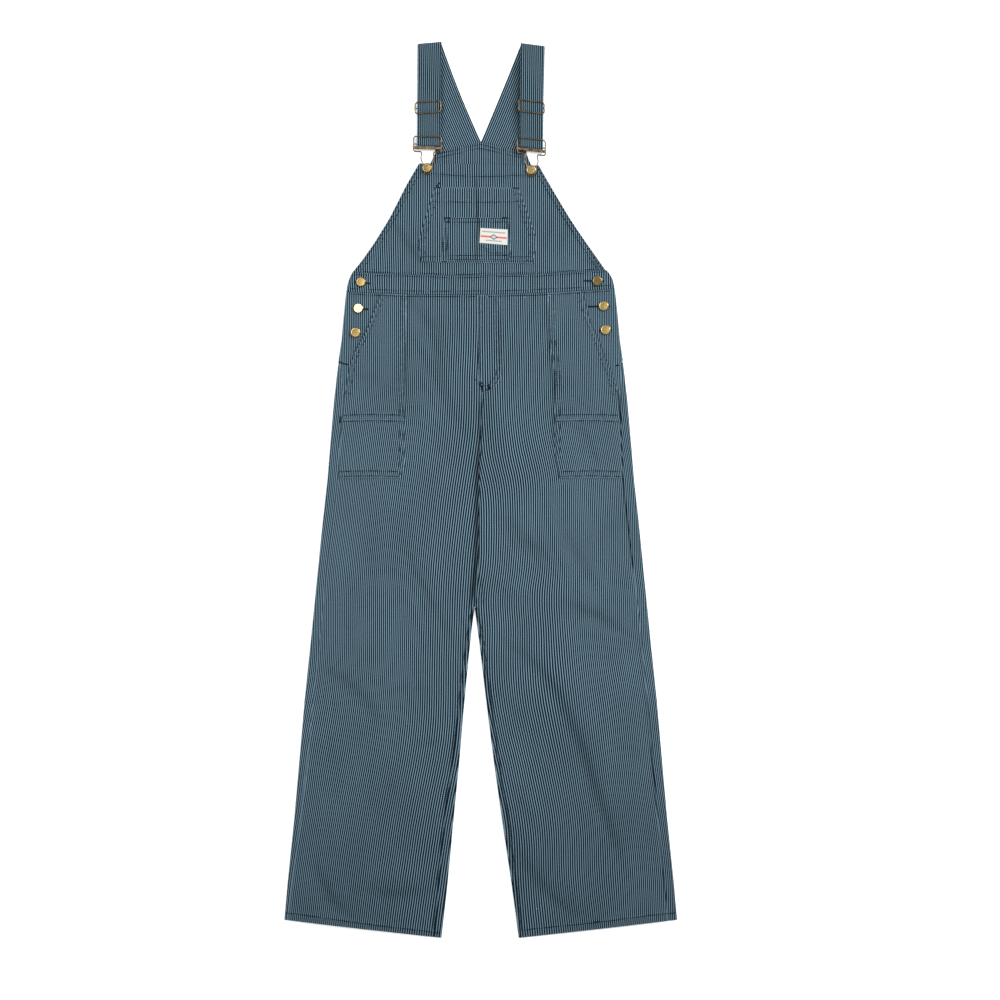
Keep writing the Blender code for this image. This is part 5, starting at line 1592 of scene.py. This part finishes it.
def slider(side):
    x0, h0 = SLIDER_AT[side]
    half_width, half_height = SLIDER_HALF
    tilt = SLIDER_TILT[side]

    def spot(u, v, z):
        return (x0 + u, h0 + v + tilt * u, z)

    flat = []
    for sx, sy, start in ((1, 1, math.pi / 2), (1, -1, 0.0), (-1, -1, -math.pi / 2), (-1, 1, math.pi)):
        flat += bend((sx * (half_width - CORNER), sy * (half_height - CORNER)), CORNER, start)
    bent = [spot(u, v, SLIDER_Z + 0.12 * math.sin(u * 0.4 + v)) for u, v in flat]
    frame_part = swept(bent, circle(WIRE), True)
    bar_end = ((0.0, SLIDER_Z - 0.6), (0.0, MIDDLE_BAR_Z + 1.2), (0.3, MIDDLE_BAR_Z + 0.4),
               (1.2, MIDDLE_BAR_Z))
    bar = [(-half_width + inset, z) for inset, z in bar_end]
    bar += [(half_width - inset, z) for inset, z in reversed(bar_end)]
    bar_part = swept([spot(u, 0.0, z) for u, z in bar], circle(WIRE * 0.96), False)
    parts = [frame_part, bar_part]
    for sx in (-1, 1):
        curl = [spot(sx * half_width, v, SLIDER_Z) for v in (-1.9, -1.7, 1.7, 1.9)]
        parts.append(swept(curl, circle(WIRE + 0.45), False))
    metal_piece("slider_wire_" + side, parts, ANTIQUE, ["slider_" + side])


def buckle(side):
    x0, h0 = BUCKLE_AT[side]
    tilt = BUCKLE_TILT[side]

    def spot(u, v):
        return (x0 + u, h0 + v + tilt * u, buckle_z(v))

    half = [(0.0, BUCKLE_TOP)]
    half += bend((BUCKLE_HALF - CORNER, BUCKLE_TOP - CORNER), CORNER, math.pi / 2)
    half += [(BUCKLE_HALF, PLATE_AT)]
    half += bend((BUCKLE_HALF - 3.0, SHOULDER_AT + 3.0), 3.0, 0.0)
    neck = rounded([(13.5, SHOULDER_AT), (11.0, SHOULDER_AT), (9.3, SHOULDER_AT - 1.4)] + list(NECK[1:]), 1.2)
    half += neck
    centre = KEYHOLE_END + LOOP_HALF
    for k in range(12):
        turn = math.pi / 2 * k / 12
        half.append((LOOP_HALF * math.cos(turn), centre - LOOP_HALF * math.sin(turn)))
    outline = half + [(0.0, KEYHOLE_END)] + [(-u, v) for u, v in reversed(half[1:])]
    parts = [swept([spot(u, v) for u, v in outline], circle(WIRE), True)]
    loop_bar = [spot(-BUCKLE_HALF, LOOP_BAR), spot(BUCKLE_HALF, LOOP_BAR)]
    parts.append(swept(loop_bar, circle(WIRE * 0.96), False))
    run = [(-22.2, PLATE_AT), (-21.9, PLATE_AT), (21.9, PLATE_AT), (22.2, PLATE_AT)]
    parts.append(swept([spot(u, v) for u, v in run], flat_section(2.15, 1.25, 0.45), False))
    metal_piece("buckle_wire_" + side, parts, ANTIQUE, ["buckle_" + side])


def lint():
    """Pale thread ends lying on the cloth."""
    top = LEG_TOP["left"]
    for rise, line in (
        (1.9, ((8.8, 992.0), (12.4, 992.6))), (0.6, ((66.6, 992.6), (69.4, 990.6))),
        (1.9, ((104.2, 994.6), (107.0, 993.8))), (0.6, ((85.6, 46.6), (88.0, 44.6))),
    ):
        sew("lint", None, line, top, rise, "lint")
    sew("lint_brown", None, ((254.1, 34.9), (260.0, 32.2), (268.5, 31.8)), top, 0.6, "lint")


def button(name, x, h, seat, stem):
    profile = BUTTON_FOOT + tuple((radius, stem + rise) for radius, rise in BUTTON_FACE)
    lean_x, lean_y = (math.radians(a) for a in BUTTON_LEAN[name])
    points, faces, rings = [], [], []
    for radius, z in profile:
        ring = []
        count = 1 if radius == 0.0 else BUTTON_SIDES
        for s in range(count):
            turn = 2 * math.pi * s / BUTTON_SIDES
            px, py = radius * math.cos(turn), radius * math.sin(turn)
            slope = float(smooth(0.5, stem + 0.2, z))
            tipped = slope * (px * math.tan(lean_y) + py * math.tan(lean_x))
            ring.append(len(points))
            points.append((x + px, h + py, seat + z + tipped))
        rings.append(ring)
    for first, second in zip(rings, rings[1:]):
        for s in range(BUTTON_SIDES):
            following = (s + 1) % BUTTON_SIDES
            if len(first) == 1:
                faces.append([first[0], second[s], second[following]])
            elif len(second) == 1:
                faces.append([first[s], first[following], second[0]])
            else:
                faces.append([first[s], first[following], second[following], second[s]])
    metal_piece(name + "_metal", [(points, faces)], BRASS, [name], BUTTON_PAINTED_LIGHT[name])


def metalwork():
    for side in SIDES:
        slider(side)
        buckle(side)
        for number in (0, 1, 2, 3):
            name = "button_bib_" + side if number == 0 else "button_side_%s_%d" % (side, number)
            x, h = BUCKLE_AT[side] if number == 0 else SIDE_BUTTONS[side][number - 1]
            x, h = (a + b for a, b in zip((x, h), BUTTON_SHIFT.get(name, (0.0, 0.0))))
            low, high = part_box(name)
            seat = low.z / MM
            stem = (high.z - low.z) / MM - BUTTON_HEAD_HEIGHT
            button(name, x, h, seat, stem)


# ---------------------------------------------------------------- make it all
for side in SIDES:
    leg_back(side)
    leg_front(side)
band("waistband_under", ROLL_RADIUS, CLOTH, 0.0, "waistband_back", False)
band("waistband", 0.0, BAND, BIB_LOW, "waistband_front", True)
bib_back()
bib_front()
sewn_pieces()
for side in SIDES:
    strap(side)
tacks()
lint()
make_stitches()
metalwork()


# ---------------------------------------------------------------- floor, light, camera
def stage():
    mesh = bpy.data.meshes.new("floor")
    size, level = 12.0, -0.0003
    mesh.from_pydata([(-size, -size, level), (size, -size, level), (size, size, level), (-size, size, level)],
                     [], [(0, 1, 2, 3)])
    floor = bpy.data.objects.new("floor", mesh)
    bpy.context.scene.collection.objects.link(floor)
    f = Finish("floor_look", 0.95)
    grain = f.noise(f.here(), 3.0, 2.0)
    f.put(f.shader.inputs["Base Color"], f.mix(grain, (0.90, 0.90, 0.90, 1), (0.92, 0.92, 0.92, 1)))
    f.shader.inputs["Specular IOR Level"].default_value = 0.1
    f.shader.inputs["Emission Color"].default_value = (1, 1, 1, 1)
    f.shader.inputs["Emission Strength"].default_value = 0.26
    mesh.materials.append(f.material)


def light(name, spot, target, size, power, colour=(1, 1, 1)):
    data = bpy.data.lights.new(name, "AREA")
    data.shape = "SQUARE"
    data.size = size
    data.energy = power
    data.color = colour
    lamp = bpy.data.objects.new(name, data)
    lamp.location = spot
    lamp.rotation_euler = (Vector(target) - Vector(spot)).to_track_quat("-Z", "Y").to_euler()
    bpy.context.scene.collection.objects.link(lamp)


def studio():
    scene = bpy.context.scene
    world = bpy.data.worlds.new("studio")
    world.use_nodes = True
    background = world.node_tree.nodes["Background"]
    background.inputs[0].default_value = (0.94, 0.97, 1.0, 1)
    background.inputs[1].default_value = 0.52
    scene.world = world
    light("key", (4.2, 2.4, 4.7), (0.0, 0.0, 0.0), 2.6, 430.0, (1.0, 0.99, 0.97))
    light("fill", (-2.4, 1.4, 5.2), (0.0, 0.0, 0.0), 2.6, 184.0)
    data = bpy.data.cameras.new("camera")
    data.lens = 85.0
    data.sensor_width = 36.0
    camera = bpy.data.objects.new("camera", data)
    camera.location = (0.0298, 0.6781 - LENGTH / 2 * MM, 3.66)
    scene.collection.objects.link(camera)
    scene.camera = camera
    scene.view_settings.view_transform = "Standard"


stage()
studio()
